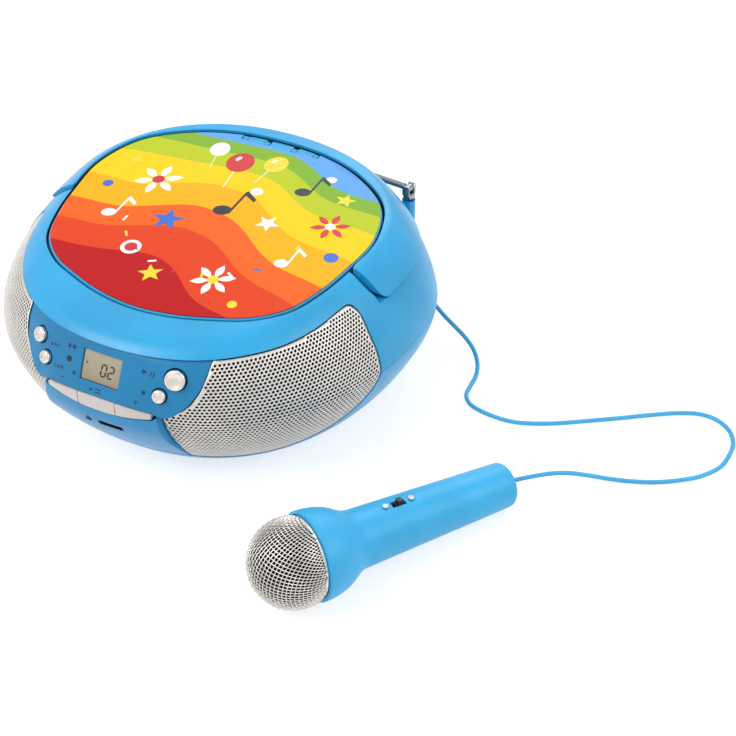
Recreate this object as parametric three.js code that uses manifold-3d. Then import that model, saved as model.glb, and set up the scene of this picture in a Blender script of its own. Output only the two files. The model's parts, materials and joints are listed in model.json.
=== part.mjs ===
// A portable top-loading disc player with a wired microphone.
// Millimetres, +Z up. The origin is on the surface that it stands on, under the middle of the body.
// The front, with the controls and the two loudspeakers, faces -Y.

import * as THREE from 'three';
import { mergeVertices } from 'three/addons/utils/BufferGeometryUtils.js';
import Module from 'manifold-3d';

const wasm = await Module();
wasm.setup();

// Driving sizes of the body: a rounded drum, widest at the waist, drawn in at the crown and the foot.
const bodyHalfWidth = 136;
const bodyFrontReach = 151.5;
const bodyRearReach = 98;
const bodyMidY = 26;
const bodyFrontY = bodyMidY - bodyFrontReach;
const bodyRearY = bodyMidY + bodyRearReach;
const waistZ = 58;
const crownZ = 108.6;
const shellBottomZ = 2.2;
const crownInSide = 37.8;
const crownInFront = 25.8;
const crownInRear = 19.5;
const footIn = 39.4;
const crownTilt_deg = 3;
const bodyPower = { front: 2.23, rear: 2.11 };
const crownPower = { front: 2.7, side: 1.51, rear: 1.71 };
const footPower = 1.56;
const radiusRounds = 6;
const ringSteps = 44;
const crownSteps = 5;
const footSteps = 5;

// Walls, gaps and the overrun of every cut.
const wall = 2.5;
const gap = 0.3;
const running = 0.1;
const seamGap = 0.5;
const overrun = 2;

// How many sides the round pieces have.
const sidesOf = { pin: 12, small: 16, medium: 20, large: 28, well: 44, mic: 24, arc: 4, ball: 7 };

// The lid, the gutter round it and the seat that it rests on.
const lidSteps = 40;
const lidBorder = { side: 36, ends: 33.75 };
const lid = {
  halfWidth: bodyHalfWidth - lidBorder.side,
  halfLength: (bodyFrontReach + bodyRearReach) / 2 - lidBorder.ends,
  y: 6,
  edge: 3,
  skin: 2.4,
  dome: 2.2,
  rim: 5,
  edgeRound: 0.8,
  shares: [0.5, 0.85],
  gap: 1.5,
};
const label = { inset: 0.3, thickness: 0.5, notch: 1.2 };
const gutter = { depth: 5.5, rearDepth: 8.8, under: 11.5, wall: 2 };
const seat = { outer: 1.5, inner: 3.9 };
const lidHinge = {
  y: lid.halfLength - 4.5, drop: 1, radius: 2, pin: 0.9, barrel: [12, 24], ear: 3.3, reach: 9, room: 0.9,
};
const lidHook = {
  y: 8 - lid.halfLength, width: 10, thickness: 2.4, bottom: 13.5, slot: 2.4, sideRoom: 1, clip: 1.6, catch: 8,
  before: 2.7, behind: 3.6,
};

// The lid outline, one half as shares of its half width and half length from the front to the rear.
const lidOutline_shares = [
  [0.25, -0.967], [0.47, -0.89], [0.67, -0.791], [0.83, -0.626], [0.92, -0.385], [0.975, -0.088],
  [0.998, 0.242], [0.886, 0.604], [0.62, 0.846], [0.33, 0.967],
];

// The front window of the shells, as [share of a right angle from the front, share of the crown height].
const grilleTop_shares = [[0.29, 0.892], [0.363, 0.891], [0.482, 0.89], [0.587, 0.9], [0.688, 0.917],
  [0.738, 0.915]];
const grilleEnd_shares = [[0.757, 0.877], [0.762, 0.757], [0.768, 0.635], [0.764, 0.52], [0.728, 0.41]];
const grilleLow_shares = [[0.65, 0.293], [0.56, 0.213], [0.468, 0.172], [0.377, 0.164], [0.28, 0.17],
  [0.18, 0.193]];
const windowTop_shares = [[0, 0.898], [0.09, 0.898], [0.18, 0.896]];
const windowLow_shares = [[0.09, 0.195], [0, 0.195]];
const fanScale = 4;
const fanZ = 60;
const windowDepth = 8;

// The carry handle: a band that lies flush in the shoulder, hinged near its front ends.
const handle = {
  depth: 7,
  proud: 1.4,
  lowZ: 92.5,
  lowGap: 1.2,
  frontY: -0.5,
  frontGap: 2.9,
  pivotY: 6,
  pivotZ: 101.5,
  pocket: 10.7,
  pocketX: lid.halfWidth - 0.4,
  bossWall: 3.4,
  pin: 2,
  pinFrom: lid.halfWidth - 2.4,
  pinTo: lid.halfWidth + 7,
  corner: 5,
  cornerSteps: 5,
  lidWall: 0.6,
};

// The disc well under the lid, and the drive below it. discY is the middle of the disc.
const discY = 14;
const well = { margin: 4.2, deckZ: 97, deck: 2.5, radius: 63, floorZ: 92.5, wall: 2, hub: 17 };
const laser = { slotHalf: 11, near: 24, far: 58, past: 3 };
const chassis = { z: 84, thickness: 2, halfWidth: 40, front: -78, rear: 38, window: 14, post: 4 };
const motor = { radius: 12, height: 12, shaft: 1.2, shaftOut: 5, shaftIn: 1, room: 1 };
const platter = { radius: 15, thickness: 2.5, lift: 1, boss: 4, hubRadius: 7.3, hubHeight: 2.6,
  hubTaper: 0.8 };
const rod = { radius: 1.5, x: 18.5, z: 80.6, front: -74, rear: 24, mount: 4, mountHalf: 2.5,
  mountDrop: 3.4, bend: 5 };
const sled = {
  halfWidth: 23, halfLength: 11, bottom: 77.6, top: 83.4, tower: 8.5, towerBack: 5, towerTop: 87.6, lens: 4,
  lensTop: 89.6, forward: 1,
};
const rack = { module: 1, teeth: 14, count: 16, thickness: 3, z: 79, backlash: 0.5, offset: 8, height: 1.9,
  body: 2.5 };
const tooth = { root: 1.25, tip: 0.7, rootShare: 1.5, tipShare: 0.55 };
const pinion = { back: 17, bore: 1.3, shaft: 1.2 };
const sledDrive = {
  radius: 8.4, below: 14, gap: 1, shaftIn: 1, armHalf: 2, armFar: 15, armNear: 9.4, armBelow: 4,
  footHalf: 6, footNear: 6, footLow: 6, footHigh: 2,
};

// The loudspeakers behind the two grilles. Their bearing is counted from the front.
const speaker = {
  bearing_deg: 45,
  z: 59.5,
  face: (bodyHalfWidth + bodyFrontReach) / 2 - 18.25,
  radius: 31,
  opening: 25,
  flange: 2.5,
  basket: 16,
  magnet: 19,
  magnetLength: 11,
  cone: 23,
  coneThickness: 2.5,
  coneRise: 5,
  coneCap: 1,
  step: 5,
  collarReach: 30,
};
const grille = { recess: 0.4, thickness: 2.1, edge: 0.5, innerX: 38.2, baffleEdge: 2 };
const baffle = { depth: 2.8, thickness: 2 };

// The leaning control panel, the keys below it and the bezel below them.
const panel = {
  recess: 1, halfWidth: bodyHalfWidth - 10, faceY: bodyFrontY + 8.5, faceZ: 92.1, lean: 0.52, wall: 2.5,
  swellFromZ: 50, swellToZ: 84, rim: 1.5, rimDepth: 6, rimX: 37.3, rimToZ: 82,
};
const nose = { proud: 4.5, fromZ: 20, fullZ: 56, topZ: 76 };
const noseSteps = 10;
const archSteps = 8;

// Corners of the panel, the keys and the bezel: half widths as shares of the body's, and heights.
const front_shares = {
  topX: 0.4485, wideX: 0.445, bendX: 0.4265, lowX: 0.386, cheekX: 0.3198, cornerX: 0.2787, tipX: 0.2574,
  chinX: 0.2985, jawX: 0.3147, footX: 0.3235,
};
const front = {
  ...Object.fromEntries(Object.entries(front_shares).map(([name, share]) => [name, share * bodyHalfWidth])),
  topZ: 95.8, midTopZ: 96.6, wideZ: 89, bendZ: 80, lowZ: 71.8, cheekZ: 65.6, cornerTopZ: 66, tipZ: 66.9,
  cornerLowZ: 64.9, tipLowZ: 64.1, keyTopZ: 69.2, keyLowZ: 60.4, chinZ: 48.6, jawZ: 36.4, footZ: 22.3,
};
const keyDepth = 9;
const keySplitX = 12.7;
const display = { width: 26, height: 18.4, z: 84.2, glass: 1.4, module: 4, border: 2, hole: 28 };
const buttonProud = 3;
const buttonRim = 1.8;
const buttonTop_share = 0.86;
const buttonSink = 4;
const buttonGap = 0.7;
const roundButtons = [
  { name: 'button_upper_right', x: 45.1, z: 87, radius: 6.2 },
  { name: 'button_lower_right', x: 37.9, z: 77.7, radius: 4.1 },
  { name: 'button_upper_left', x: -46.3, z: 87.2, radius: 4.6 },
  { name: 'button_lower_left', x: -39.4, z: 77.8, radius: 4 },
];
const led = { x: -22.3, z: 83.4, radius: 1.5, length: 5 };
const usb = {
  x: 7, z: 49.5, frontY: bodyFrontY + 2.9, slotWidth: 17, slotHeight: 4.6, width: 20, height: 8, depth: 13,
  port: 10,
};

// The underside: battery bay, door, feet, screws and the flat pad that it rests a label on.
const bay = { x: 45, front: 20, rear: 72, top: 34, wall: 2, frame: 53, frameFront: 13, frameRear: 89,
  frameTop: 7.2 };
const door = {
  x: 50, front: 16.3, rear: 76.3, z: 2.4, thickness: 1.7, ridge: 1.2, ridges: 4, pitch: 2.4, ridgeWidth: 1,
  ridgeBack: 8, ridgeHalf: 16, sink: 0.4, travel: 9, tongueIn: 3, tongueFront: 0.6, tongueThickness: 2.4,
  tongueHeight: 2.4,
};
const contact = { thickness: 0.8, inset: 6, low: 12, high: 30, strap: 6 };
const foot = { radius: 7, height: 3, sink: 0.8, frontX: 58, frontY: -50, rearX: 68, rearY: 50 };
const screw = { radius: 1.5, head: 3, headLength: 1.8, length: 44, sink: 1.6, boss: 4.6 };
const screwPlaces = [{ x: 80, y: 28 }];
const pad = { halfWidth: 30, front: -16, rear: 8, drop: 1 };

// Boards and power parts in the lower shell.
const board = { x: 46, front: -55, rear: -8, z: 12, thickness: 1.6, chip: 2, post: 3, edge: 1 };
const boardChips = [
  { x: -30, y: -50, width: 14, length: 14 },
  { x: -4, y: -46, width: 20, length: 12 },
  { x: 24, y: -44, width: 10, length: 22 },
  { x: -28, y: -26, width: 22, length: 8 },
  { x: 10, y: -26, width: 12, length: 12 },
];
const transformer = { x: -66, y: -16, width: 30, length: 40, height: 31, z: 5.2 };
const inlet = {
  x: -60, z: 32, width: 22, height: 14, front: bodyRearY - 32, rear: bodyRearY - 19.5, mouth: 9, inside: 10,
  rim: 2.2,
  pin: 1.2, pinX: 4.3, pinIn: 2,
};

// The rod antenna at the rear right: a post on the shell, a swivel and three sliding tubes.
const post = {
  x: bodyHalfWidth - 51, y: bodyRearY - 15.2, radius: 4.4, bottomZ: 62, topZ: 88.6,
  rootDepth: 16, rootDrop: 2.5,
};
const swivel = {
  radius: 2.6, stem: 2, stemSink: 12, flange: 4, flangeTop: 4.2, flangeEdge: 0.8, fork: 2.5, forkWall: 1.2,
  forkFoot: 3.4, pin: 0.8, eye: 2.3,
};
const mast = {
  radii: [2.15, 1.5, 0.9], length: 104, step: 1.2, turn_deg: 167, drop_deg: 5.6, tip: 2.2, tipLength: 5,
  tipCrown: 0.6, tipNeck: 1, play: 0.15, back: 3.6, innerStart: 6, innerStep: 3,
  floor: 2, web: 1.3, webHeight: 1.5,
  webIn: 1,
};
const mastAxisLift = 8;

// The microphone, its cord and its plug.
const jack = { bearing_deg: 38, z: 30, boss: 7.5, inside: 13, back: 12, bore: 1.9, radius: 5.2,
  shoulder: 1.2 };
const plug = { radius: 4.6, length: 12.5, edge: 1, pin: 1.6, pinLength: 9, arm: 3.4, armLength: 12,
  armBack: 4.6 };
const mic = {
  tailX: 217.74,
  tailY: -35.06,
  bearing_deg: 58.35,
  tail: 13.7,
  tailRound: 4,
  neck: 17.2,
  neckAt: 105,
  flare: [[1.1, 4], [2.6, 7], [5.7, 12.5], [7.3, 17]],
  collar: 26.3,
  collarAt: 132,
  collarEdge: [0.7, 5.5],
  rimAt: 135.5,
  ball: 25.8,
  ballAt: 144.4,
  wall: 2,
  socket: 24.5,
  socketAt: 126,
  mesh: 1.2,
  bandAt: 127,
  bandRadius: 23.8,
  capsule: 9,
  capsuleShelf: 2,
  capsuleLength: 14,
  floorGap: 0.3,
  exitBore: 2.2,
};
const micSwitch = {
  at: 77.7, slotLength: 9, slotWidth: 4.4, length: 4.6, width: 3.2, knob: 3, rise: 2.6, back: 0.4, sink: 0.6,
  knobSink: 1,
};
const micScrew = { spacing: 8.6, radius: 1.8, height: 0.8, shank: 0.9, shankLength: 1.4 };
const cordRadius = 1.4;
const cordSides = 8;
const cordSteps = 74;
const cordLead = 5.6;

// The cord's route from the plug, down to the surface, round it and up to the microphone's tail.
const cordPoints = [
  [110.5, 89.2, 29.4], [117.5, 85.4, 27.2], [125, 82.4, 23.8], [133.5, 80.4, 19.4], [142, 78.4, 14.6],
  [149.6, 74.8, 9.8], [155.2, 68.6, 5.4], [158.2, 60.4, 2.6], [158.8, 50, 1.5], [160, 40, 1.5],
  [165.5, 33.2, 1.5], [174, 30.2, 1.5], [186, 28.8, 1.5], [198, 30, 1.5], [211, 35, 1.5], [223.3, 41.7, 1.5],
  [239, 52, 1.5], [255.5, 63, 1.5], [272, 74.5, 1.5], [287.8, 84.4, 1.5], [299.5, 89, 1.5], [310, 88.6, 1.5],
  [320, 82.4, 1.5], [325.6, 72.4, 1.5], [326.6, 60, 1.5], [324.6, 47.6, 1.5], [316.6, 35, 1.5], [305.4,
    25.2, 1.5],
  [293.6, 17.6, 1.5], [280, 11.6, 1.6], [268, 6.8, 2.6], [256.6, 1.4, 5.2], [246, -5.8, 8.8], [237, -14.4,
    11.8],
];

const colours = {
  blue: 0x40b0e6,
  deepBlue: 0x2a9cd8,
  silver: 0xd2cdc8,
  pearl: 0xdcd4cc,
  chrome: 0xd8dadc,
  black: 0x1c1d20,
  glass: 0xa59b87,
  green: 0x2c6b3c,
  steel: 0xa8abb0,
  copper: 0xb87333,
  paper: 0x2a2a2c,
  label: 0xf2a020,
};

const root = new THREE.Group();

// Ground tools: closed geometries from rings, outlines and revolved profiles.

function material(colour, roughness = 0.45, metalness = 0) {
  return new THREE.MeshStandardMaterial({ color: colour, roughness, metalness });
}

function solidOf(geometry) {
  const bare = geometry.clone();
  bare.deleteAttribute('normal');
  bare.deleteAttribute('uv');
  const merged = mergeVertices(bare, 1e-4);
  const index = merged.index.array;
  const kept = [];
  for (let i = 0; i < index.length; i += 3) {
    const [a, b, c] = [index[i], index[i + 1], index[i + 2]];
    if (a !== b && b !== c && c !== a) kept.push(a, b, c);
  }
  return new wasm.Manifold(new wasm.Mesh({
    numProp: 3,
    vertProperties: new Float32Array(merged.attributes.position.array),
    triVerts: new Uint32Array(kept),
  }));
}

function geometryOf(solid) {
  const mesh = solid.getMesh();
  const geometry = new THREE.BufferGeometry();
  const places = new Float32Array(mesh.numVert * 3);
  for (let i = 0; i < mesh.numVert; i += 1) {
    for (let k = 0; k < 3; k += 1) places[i * 3 + k] = mesh.vertProperties[i * mesh.numProp + k];
  }
  geometry.setAttribute('position', new THREE.BufferAttribute(places, 3));
  geometry.setIndex(new THREE.BufferAttribute(new Uint32Array(mesh.triVerts), 1));
  geometry.computeVertexNormals();
  return geometry;
}

function add(name, solid, look, parent = root) {
  const mesh = new THREE.Mesh(geometryOf(solid), look);
  mesh.name = name;
  parent.add(mesh);
  return mesh;
}

function unite(solids) {
  return solids.reduce((sum, one) => sum.add(one));
}

function cut(solid, cutters) {
  return cutters.reduce((left, one) => left.subtract(one), solid);
}

function moved(geometry, x, y, z) {
  return solidOf(geometry.clone().translate(x, y, z));
}

// A box between two corners.
function block(x0, x1, y0, y1, z0, z1) {
  return moved(new THREE.BoxGeometry(x1 - x0, y1 - y0, z1 - z0), (x0 + x1) / 2, (y0 + y1) / 2, (z0 + z1) / 2);
}

// An upright cylinder between two heights.
function rodUp(x, y, z0, z1, radius, sides = sidesOf.medium) {
  const upright = new THREE.CylinderGeometry(radius, radius, z1 - z0, sides).rotateX(Math.PI / 2);
  return moved(upright, x, y, (z0 + z1) / 2);
}

// A cylinder along X, and one along Y.
function rodAcross(x0, x1, y, z, radius, sides = sidesOf.medium) {
  const lying = new THREE.CylinderGeometry(radius, radius, x1 - x0, sides).rotateZ(Math.PI / 2);
  return moved(lying, (x0 + x1) / 2, y, z);
}

function rodBack(x, y0, y1, z, radius, sides = sidesOf.medium) {
  return moved(new THREE.CylinderGeometry(radius, radius, y1 - y0, sides), x, (y0 + y1) / 2, z);
}

// A stack of rings, or single points at its ends, as one closed skin. Rings run anticlockwise from above.
function ringSkin(levels) {
  const places = [];
  const starts = [];
  const index = [];
  for (const level of levels) {
    starts.push(places.length / 3);
    for (const p of level) places.push(...p);
  }
  const count = Math.max(...levels.map((level) => level.length));
  for (let i = 0; i + 1 < levels.length; i += 1) {
    const lowPoint = levels[i].length === 1;
    const highPoint = levels[i + 1].length === 1;
    for (let k = 0; k < count; k += 1) {
      const n = (k + 1) % count;
      const a = starts[i] + (lowPoint ? 0 : k);
      const b = starts[i] + (lowPoint ? 0 : n);
      const c = starts[i + 1] + (highPoint ? 0 : n);
      const d = starts[i + 1] + (highPoint ? 0 : k);
      if (!lowPoint) index.push(a, b, c);
      if (!highPoint) index.push(a, c, d);
    }
  }
  const geometry = new THREE.BufferGeometry();
  geometry.setAttribute('position', new THREE.BufferAttribute(new Float32Array(places), 3));
  geometry.setIndex(index);
  return solidOf(geometry);
}

function middleOf(ring) {
  const sum = ring.reduce((s, p) => [s[0] + p[0], s[1] + p[1], s[2] + p[2]], [0, 0, 0]);
  return [sum.map((v) => v / ring.length)];
}

function capped(rings) {
  return ringSkin([middleOf(rings[0]), ...rings, middleOf(rings[rings.length - 1])]);
}

// A solid of revolution about Z, from a profile of [radius, height] that starts and ends on the axis.
function turned(profile, sides = sidesOf.large) {
  const points = profile.map(([r, z]) => new THREE.Vector2(r, z));
  return solidOf(new THREE.LatheGeometry(points, sides).rotateX(Math.PI / 2));
}

function place(solid, matrix) {
  return solidOf(geometryOf(solid).applyMatrix4(matrix));
}

// An upright prism of a flat outline between two heights.
function prism(points, z0, z1) {
  const shape = new THREE.Shape(points.map(([x, y]) => new THREE.Vector2(x, y)));
  return moved(new THREE.ExtrudeGeometry(shape, { depth: z1 - z0, bevelEnabled: false }), 0, 0, z0);
}

// A prism of an outline drawn on the front, [x, z], that runs along Y.
function frontPrism(points, y0, y1) {
  const shape = new THREE.Shape(points.map(([x, z]) => new THREE.Vector2(x, z)));
  const solid = new THREE.ExtrudeGeometry(shape,
    { depth: y1 - y0, bevelEnabled: false }).rotateX(Math.PI / 2);
  return moved(solid, 0, y1, 0);
}

// An outline pushed out by a distance, corner by corner. It runs anticlockwise.
function offsetOutline(points, distance) {
  return points.map((p, i) => {
    const a = points[(i + points.length - 1) % points.length];
    const b = points[(i + 1) % points.length];
    const before = new THREE.Vector2(p[0] - a[0], p[1] - a[1]).normalize();
    const after = new THREE.Vector2(b[0] - p[0], b[1] - p[1]).normalize();
    const normal = new THREE.Vector2(before.y + after.y, -before.x - after.x).normalize();
    const stretch = Math.max(0.5, normal.x * before.y - normal.y * before.x);
    return [p[0] + (normal.x * distance) / stretch, p[1] + (normal.y * distance) / stretch];
  });
}

// The body, and every skin that follows it at a depth.

const tilt = THREE.MathUtils.degToRad(crownTilt_deg);

function crownPlane(y) {
  return crownZ + Math.tan(tilt) * (y - lid.y);
}

function drawIn(share, power) {
  return 1 - (1 - Math.min(1, share) ** power) ** (1 / power);
}

function ringPoints(side, front, rear, height) {
  const ring = [];
  for (let i = 0; i < ringSteps; i += 1) {
    const angle = (2 * Math.PI * i) / ringSteps;
    const [c, s] = [Math.cos(angle), Math.sin(angle)];
    const power = s < 0 ? bodyPower.front : bodyPower.rear;
    const x = side * Math.sign(c) * Math.abs(c) ** (2 / power);
    const y = bodyMidY + (s < 0 ? front : rear) * Math.sign(s) * Math.abs(s) ** (2 / power);
    ring.push([x, y, height(y)]);
  }
  return ring;
}

function upperRing(share, depth) {
  const side = bodyHalfWidth - depth - crownInSide * drawIn(share, crownPower.side);
  const front = bodyFrontReach - depth - crownInFront * drawIn(share, crownPower.front);
  const rear = bodyRearReach - depth - crownInRear * drawIn(share, crownPower.rear);
  return ringPoints(side, front, rear, (y) => waistZ + share * (crownPlane(y) - depth - waistZ));
}

function lowerRing(share, depth, proud = () => 0) {
  const inward = footIn * drawIn(share, footPower);
  const z = waistZ - share * (waistZ - shellBottomZ - depth);
  const front = bodyFrontReach - depth - inward + proud(z);
  return ringPoints(bodyHalfWidth - depth - inward, front, bodyRearReach - depth - inward, () => z);
}

function bodyAt(depth) {
  const rings = [];
  for (let i = footSteps; i > 0; i -= 1) {
    rings.push(lowerRing(Math.sin((i / footSteps) * (Math.PI / 2)) ** (2 / footPower), depth));
  }
  for (let i = 0; i <= crownSteps; i += 1) {
    const mean = (crownPower.front + crownPower.side + crownPower.rear) / 3;
    rings.push(upperRing(Math.sin((i / crownSteps) * (Math.PI / 2)) ** (2 / mean), depth));
  }
  return capped(rings);
}

function shellBetween(outerDepth, innerDepth) {
  return bodyAt(outerDepth).subtract(bodyAt(innerDepth));
}

const far = bodyHalfWidth + bodyFrontReach;
const aboveWaist = block(-far, far, -far, far, waistZ, far);
const belowWaist = block(-far, far, -far, far, -far, waistZ - gap);

// The space above or below the tilted crown plane, let down by a drop.
function overCrown(drop) {
  const half = new THREE.BoxGeometry(2 * far, 2 * far, far).translate(0, 0, far / 2 - drop);
  return solidOf(half.rotateX(tilt).translate(0, lid.y, crownZ));
}

// The lid's outline, pushed outwards and drawn smaller about its middle.
function lidOutline(outward, scale = 1) {
  const right = lidOutline_shares.map(([x, y]) => [x, y]);
  const left = right.map(([x, y]) => [-x, y]).reverse();
  const corners = [[0, -1], ...right, [0, 1], ...left];
  const points = corners.map(([x, y]) => new THREE.Vector3(x * lid.halfWidth, y * lid.halfLength, 0));
  const curve = new THREE.CatmullRomCurve3(points, true, 'centripetal');
  const ring = curve.getSpacedPoints(lidSteps).slice(0, lidSteps).map((p) => [p.x, p.y]);
  return offsetOutline(ring, outward).map(([x, y]) => [x * scale, y * scale]);
}

function lidPrism(outward, z0, z1) {
  return prism(lidOutline(outward).map(([x, y]) => [x, y + lid.y]), z0, z1);
}

// How far the body's skin is from its middle line at a bearing from the front, at a height.
function surfaceRadius(bearing, z) {
  let radius = bodyFrontReach;
  for (let round = 0; round < radiusRounds; round += 1) {
    const y = bodyMidY - radius * Math.cos(bearing);
    const share = z > waistZ ? (z - waistZ) / (crownPlane(y) - waistZ) : (waistZ - z) / (waistZ - shellBottomZ);
    const inFront = z > waistZ ? crownInFront * drawIn(share, crownPower.front) : footIn * drawIn(share,
      footPower);
    const inSide = z > waistZ ? crownInSide * drawIn(share, crownPower.side) : footIn * drawIn(share,
      footPower);
    const across = (Math.abs(Math.sin(bearing)) / (bodyHalfWidth - inSide)) ** bodyPower.front;
    const ahead = (Math.cos(bearing) / (bodyFrontReach - inFront)) ** bodyPower.front;
    radius = (across + ahead) ** (-1 / bodyPower.front);
  }
  return radius;
}

// A wide fan from one point inside the body, through an outline on its front. Its sides are flat.
function fanThrough(outline) {
  const flat = outline.map(([a, h]) => new THREE.Vector2(a, h));
  const faces = THREE.ShapeUtils.triangulateShape(flat, []);
  const places = [];
  for (const [angleShare, heightShare] of outline) {
    const bearing = (angleShare * Math.PI) / 2;
    const z = heightShare * crownZ;
    const reach = surfaceRadius(bearing, z) * fanScale;
    places.push(reach * Math.sin(bearing), bodyMidY - reach * Math.cos(bearing),
      fanZ + (z - fanZ) * fanScale);
  }
  places.push(0, bodyMidY, fanZ);
  const n = outline.length;
  const index = faces.flatMap(([a, b, c]) => [a, b, c]);
  for (let i = 0; i < n; i += 1) index.push(i, n, (i + 1) % n);
  const geometry = new THREE.BufferGeometry();
  geometry.setAttribute('position', new THREE.BufferAttribute(new Float32Array(places), 3));
  geometry.setIndex(index);
  return solidOf(geometry);
}

function mirrorShares(points) {
  return points.map(([a, h]) => [-a, h]).reverse();
}

// The right half from the bottom to the top, then the left half mirrored, anticlockwise from the front.
function windowOutline() {
  const rightUp = [...windowLow_shares, ...grilleLow_shares].sort((p, q) => p[0] - q[0]);
  const right = [...rightUp, ...[...grilleEnd_shares].reverse(), ...[...grilleTop_shares].reverse(),
    ...[...windowTop_shares].reverse()];
  const left = mirrorShares(right).filter(([a]) => a !== 0);
  return [...right, ...left];
}

const frontOpening = fanThrough(windowOutline());
const openWindow = frontOpening.intersect(bodyAt(-overrun).subtract(bodyAt(windowDepth)));

// Panel, key and bezel outlines on the front, [x, z], and the skins that they are cut from.

// A shallow arch from one side to the other, between two heights.
function arch(halfWidth, sideZ, midZ) {
  const points = [];
  for (let i = 0; i <= archSteps; i += 1) {
    const t = (2 * i) / archSteps - 1;
    points.push([halfWidth * t, midZ + (sideZ - midZ) * t * t]);
  }
  return points;
}

function mirrored(points) {
  return points.map(([x, z]) => [-x, z]).reverse();
}

const panelSide = [
  [front.cornerX, front.cornerTopZ], [front.cheekX, front.cheekZ], [front.lowX, front.lowZ],
  [front.bendX, front.bendZ], [front.wideX, front.wideZ],
];
const panelOutline = [
  ...arch(front.tipX + seamGap, front.tipZ + 2 * seamGap, front.keyTopZ + seamGap),
  ...panelSide,
  ...arch(front.topX, front.topZ, front.midTopZ).reverse(),
  ...mirrored(panelSide),
];
const keysOutline = [
  ...arch(front.tipX, front.tipLowZ, front.keyLowZ),
  ...arch(front.tipX, front.tipZ, front.keyTopZ).reverse(),
];
const bezelOutline = [
  [-front.footX, front.footZ], [front.footX, front.footZ], [front.jawX, front.jawZ], [front.chinX,
    front.chinZ],
  [front.cornerX, front.cornerLowZ],
  ...arch(front.tipX + seamGap, front.tipLowZ - 2 * seamGap, front.keyLowZ - seamGap).reverse(),
  [-front.cornerX, front.cornerLowZ],
  [-front.chinX, front.chinZ], [-front.jawX, front.jawZ],
];
const frontFar = -(bodyFrontReach + nose.proud * 2);
const frontNear = -bodyHalfWidth / 2;

// The leaning face of the panel, and the nose that stands proud below it.
function leaningFace(depth) {
  const rings = [waistZ - overrun * 4, crownZ + overrun * 4].map((z) => {
    const reach = bodyMidY - panel.faceY + (panel.faceZ - z) * panel.lean - depth;
    return ringPoints(panel.halfWidth - depth, reach, bodyRearReach, () => z);
  });
  return capped(rings);
}

// The panel swells out of the body as far as the keys below it.
function panelSkin(depth) {
  const inset = panel.recess + depth;
  const swell = capped([panel.swellFromZ, panel.swellToZ].map((z) => (
    ringPoints(bodyHalfWidth - inset, bodyFrontReach + nose.proud - inset, bodyRearReach - inset, () => z)
  )));
  return bodyAt(inset).add(swell).intersect(leaningFace(depth));
}

// The side rims that close the step from a proud front piece down to the grilles.
function sideRims(skin, outline, toZ) {
  const band = frontPrism(outline, frontFar, frontNear)
    .subtract(frontPrism(offsetOutline(outline, -panel.rim), frontFar - overrun, frontNear + overrun));
  return skin.intersect(band).intersect(block(-far, far, -far, far, 0, toZ))
    .subtract(block(-panel.rimX, panel.rimX, -far, far, 0, far));
}

function noseProud(z) {
  const t = Math.min(1, Math.max(0, (z - nose.fromZ) / (nose.fullZ - nose.fromZ)));
  return nose.proud * t * t * (3 - 2 * t);
}

function noseSkin(depth) {
  const rings = [];
  for (let i = noseSteps; i > 0; i -= 1) {
    const z = waistZ - (i / noseSteps) * (waistZ - front.footZ + overrun);
    const share = (waistZ - z) / (waistZ - shellBottomZ);
    rings.push(lowerRing(share, 0, noseProud).map(([x, y]) => [x, y, z]));
  }
  const full = (z) => ringPoints(bodyHalfWidth, bodyFrontReach + nose.proud, bodyRearReach, () => z);
  const solid = capped([...rings, full(waistZ), full(nose.topZ)]);
  if (depth === 0) return solid;
  const inward = new THREE.Matrix4().makeTranslation(0, depth, 0);
  return place(solid, inward);
}

// Places on the panel: its face and its outward normal at x, z.

function panelFrameAt(x, z) {
  const reach = bodyMidY - panel.faceY + (panel.faceZ - z) * panel.lean;
  const share = Math.abs(x) / panel.halfWidth;
  const fall = (1 - share ** bodyPower.front) ** (1 / bodyPower.front);
  const y = bodyMidY - reach * fall;
  const steep = Math.sign(x) * (share ** (bodyPower.front - 1)) * fall ** (1 - bodyPower.front);
  const outward = new THREE.Vector3((reach * steep) / panel.halfWidth, -1, panel.lean * fall).normalize();
  const group = new THREE.Group();
  group.position.set(x, y, z);
  group.quaternion.setFromUnitVectors(new THREE.Vector3(0, 0, 1), outward);
  group.updateMatrixWorld(true);
  return { group, outward, matrix: group.matrix.clone() };
}

// Shells

const inward = { depth: handle.depth, lining: handle.depth + wall };
const recessLowZ = handle.lowZ - handle.lowGap;
const recessFrontY = handle.frontY - handle.frontGap;

function shoulderZone(extra) {
  return block(-far, far, recessFrontY - extra, far, recessLowZ - extra, far);
}

function pivotDisc(radius, side, x0, x1) {
  const [a, b] = side > 0 ? [x0, x1] : [-x1, -x0];
  return rodAcross(a, b, handle.pivotY, handle.pivotZ, radius, sidesOf.large);
}

const sides = [-1, 1];
const ringBottomZ = crownPlane(-lid.halfLength) - gutter.under;
const lidTopZ = crownPlane(lid.halfLength) + lid.dome + overrun;
const underLidRing = overCrown(gutter.under);

function jackFrame() {
  const angle = THREE.MathUtils.degToRad(jack.bearing_deg);
  const share = (waistZ - jack.z) / (waistZ - shellBottomZ);
  const inwardBy = footIn * drawIn(share, footPower);
  const [a, b] = [bodyHalfWidth - inwardBy, bodyRearReach - inwardBy];
  const [c, s] = [Math.cos(angle), Math.sin(angle)];
  const radius = ((c / a) ** bodyPower.rear + (s / b) ** bodyPower.rear) ** (-1 / bodyPower.rear);
  const power = bodyPower.rear - 1;
  const outward = new THREE.Vector3((radius * c) ** power / a ** (power + 1),
    (radius * s) ** power / b ** (power + 1), 0);
  outward.normalize();
  const level = new THREE.Vector3(outward.y, -outward.x, 0);
  return new THREE.Matrix4().makeBasis(level, new THREE.Vector3(0, 0, -1), outward)
    .setPosition(radius * c, bodyMidY + radius * s, jack.z);
}

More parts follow.
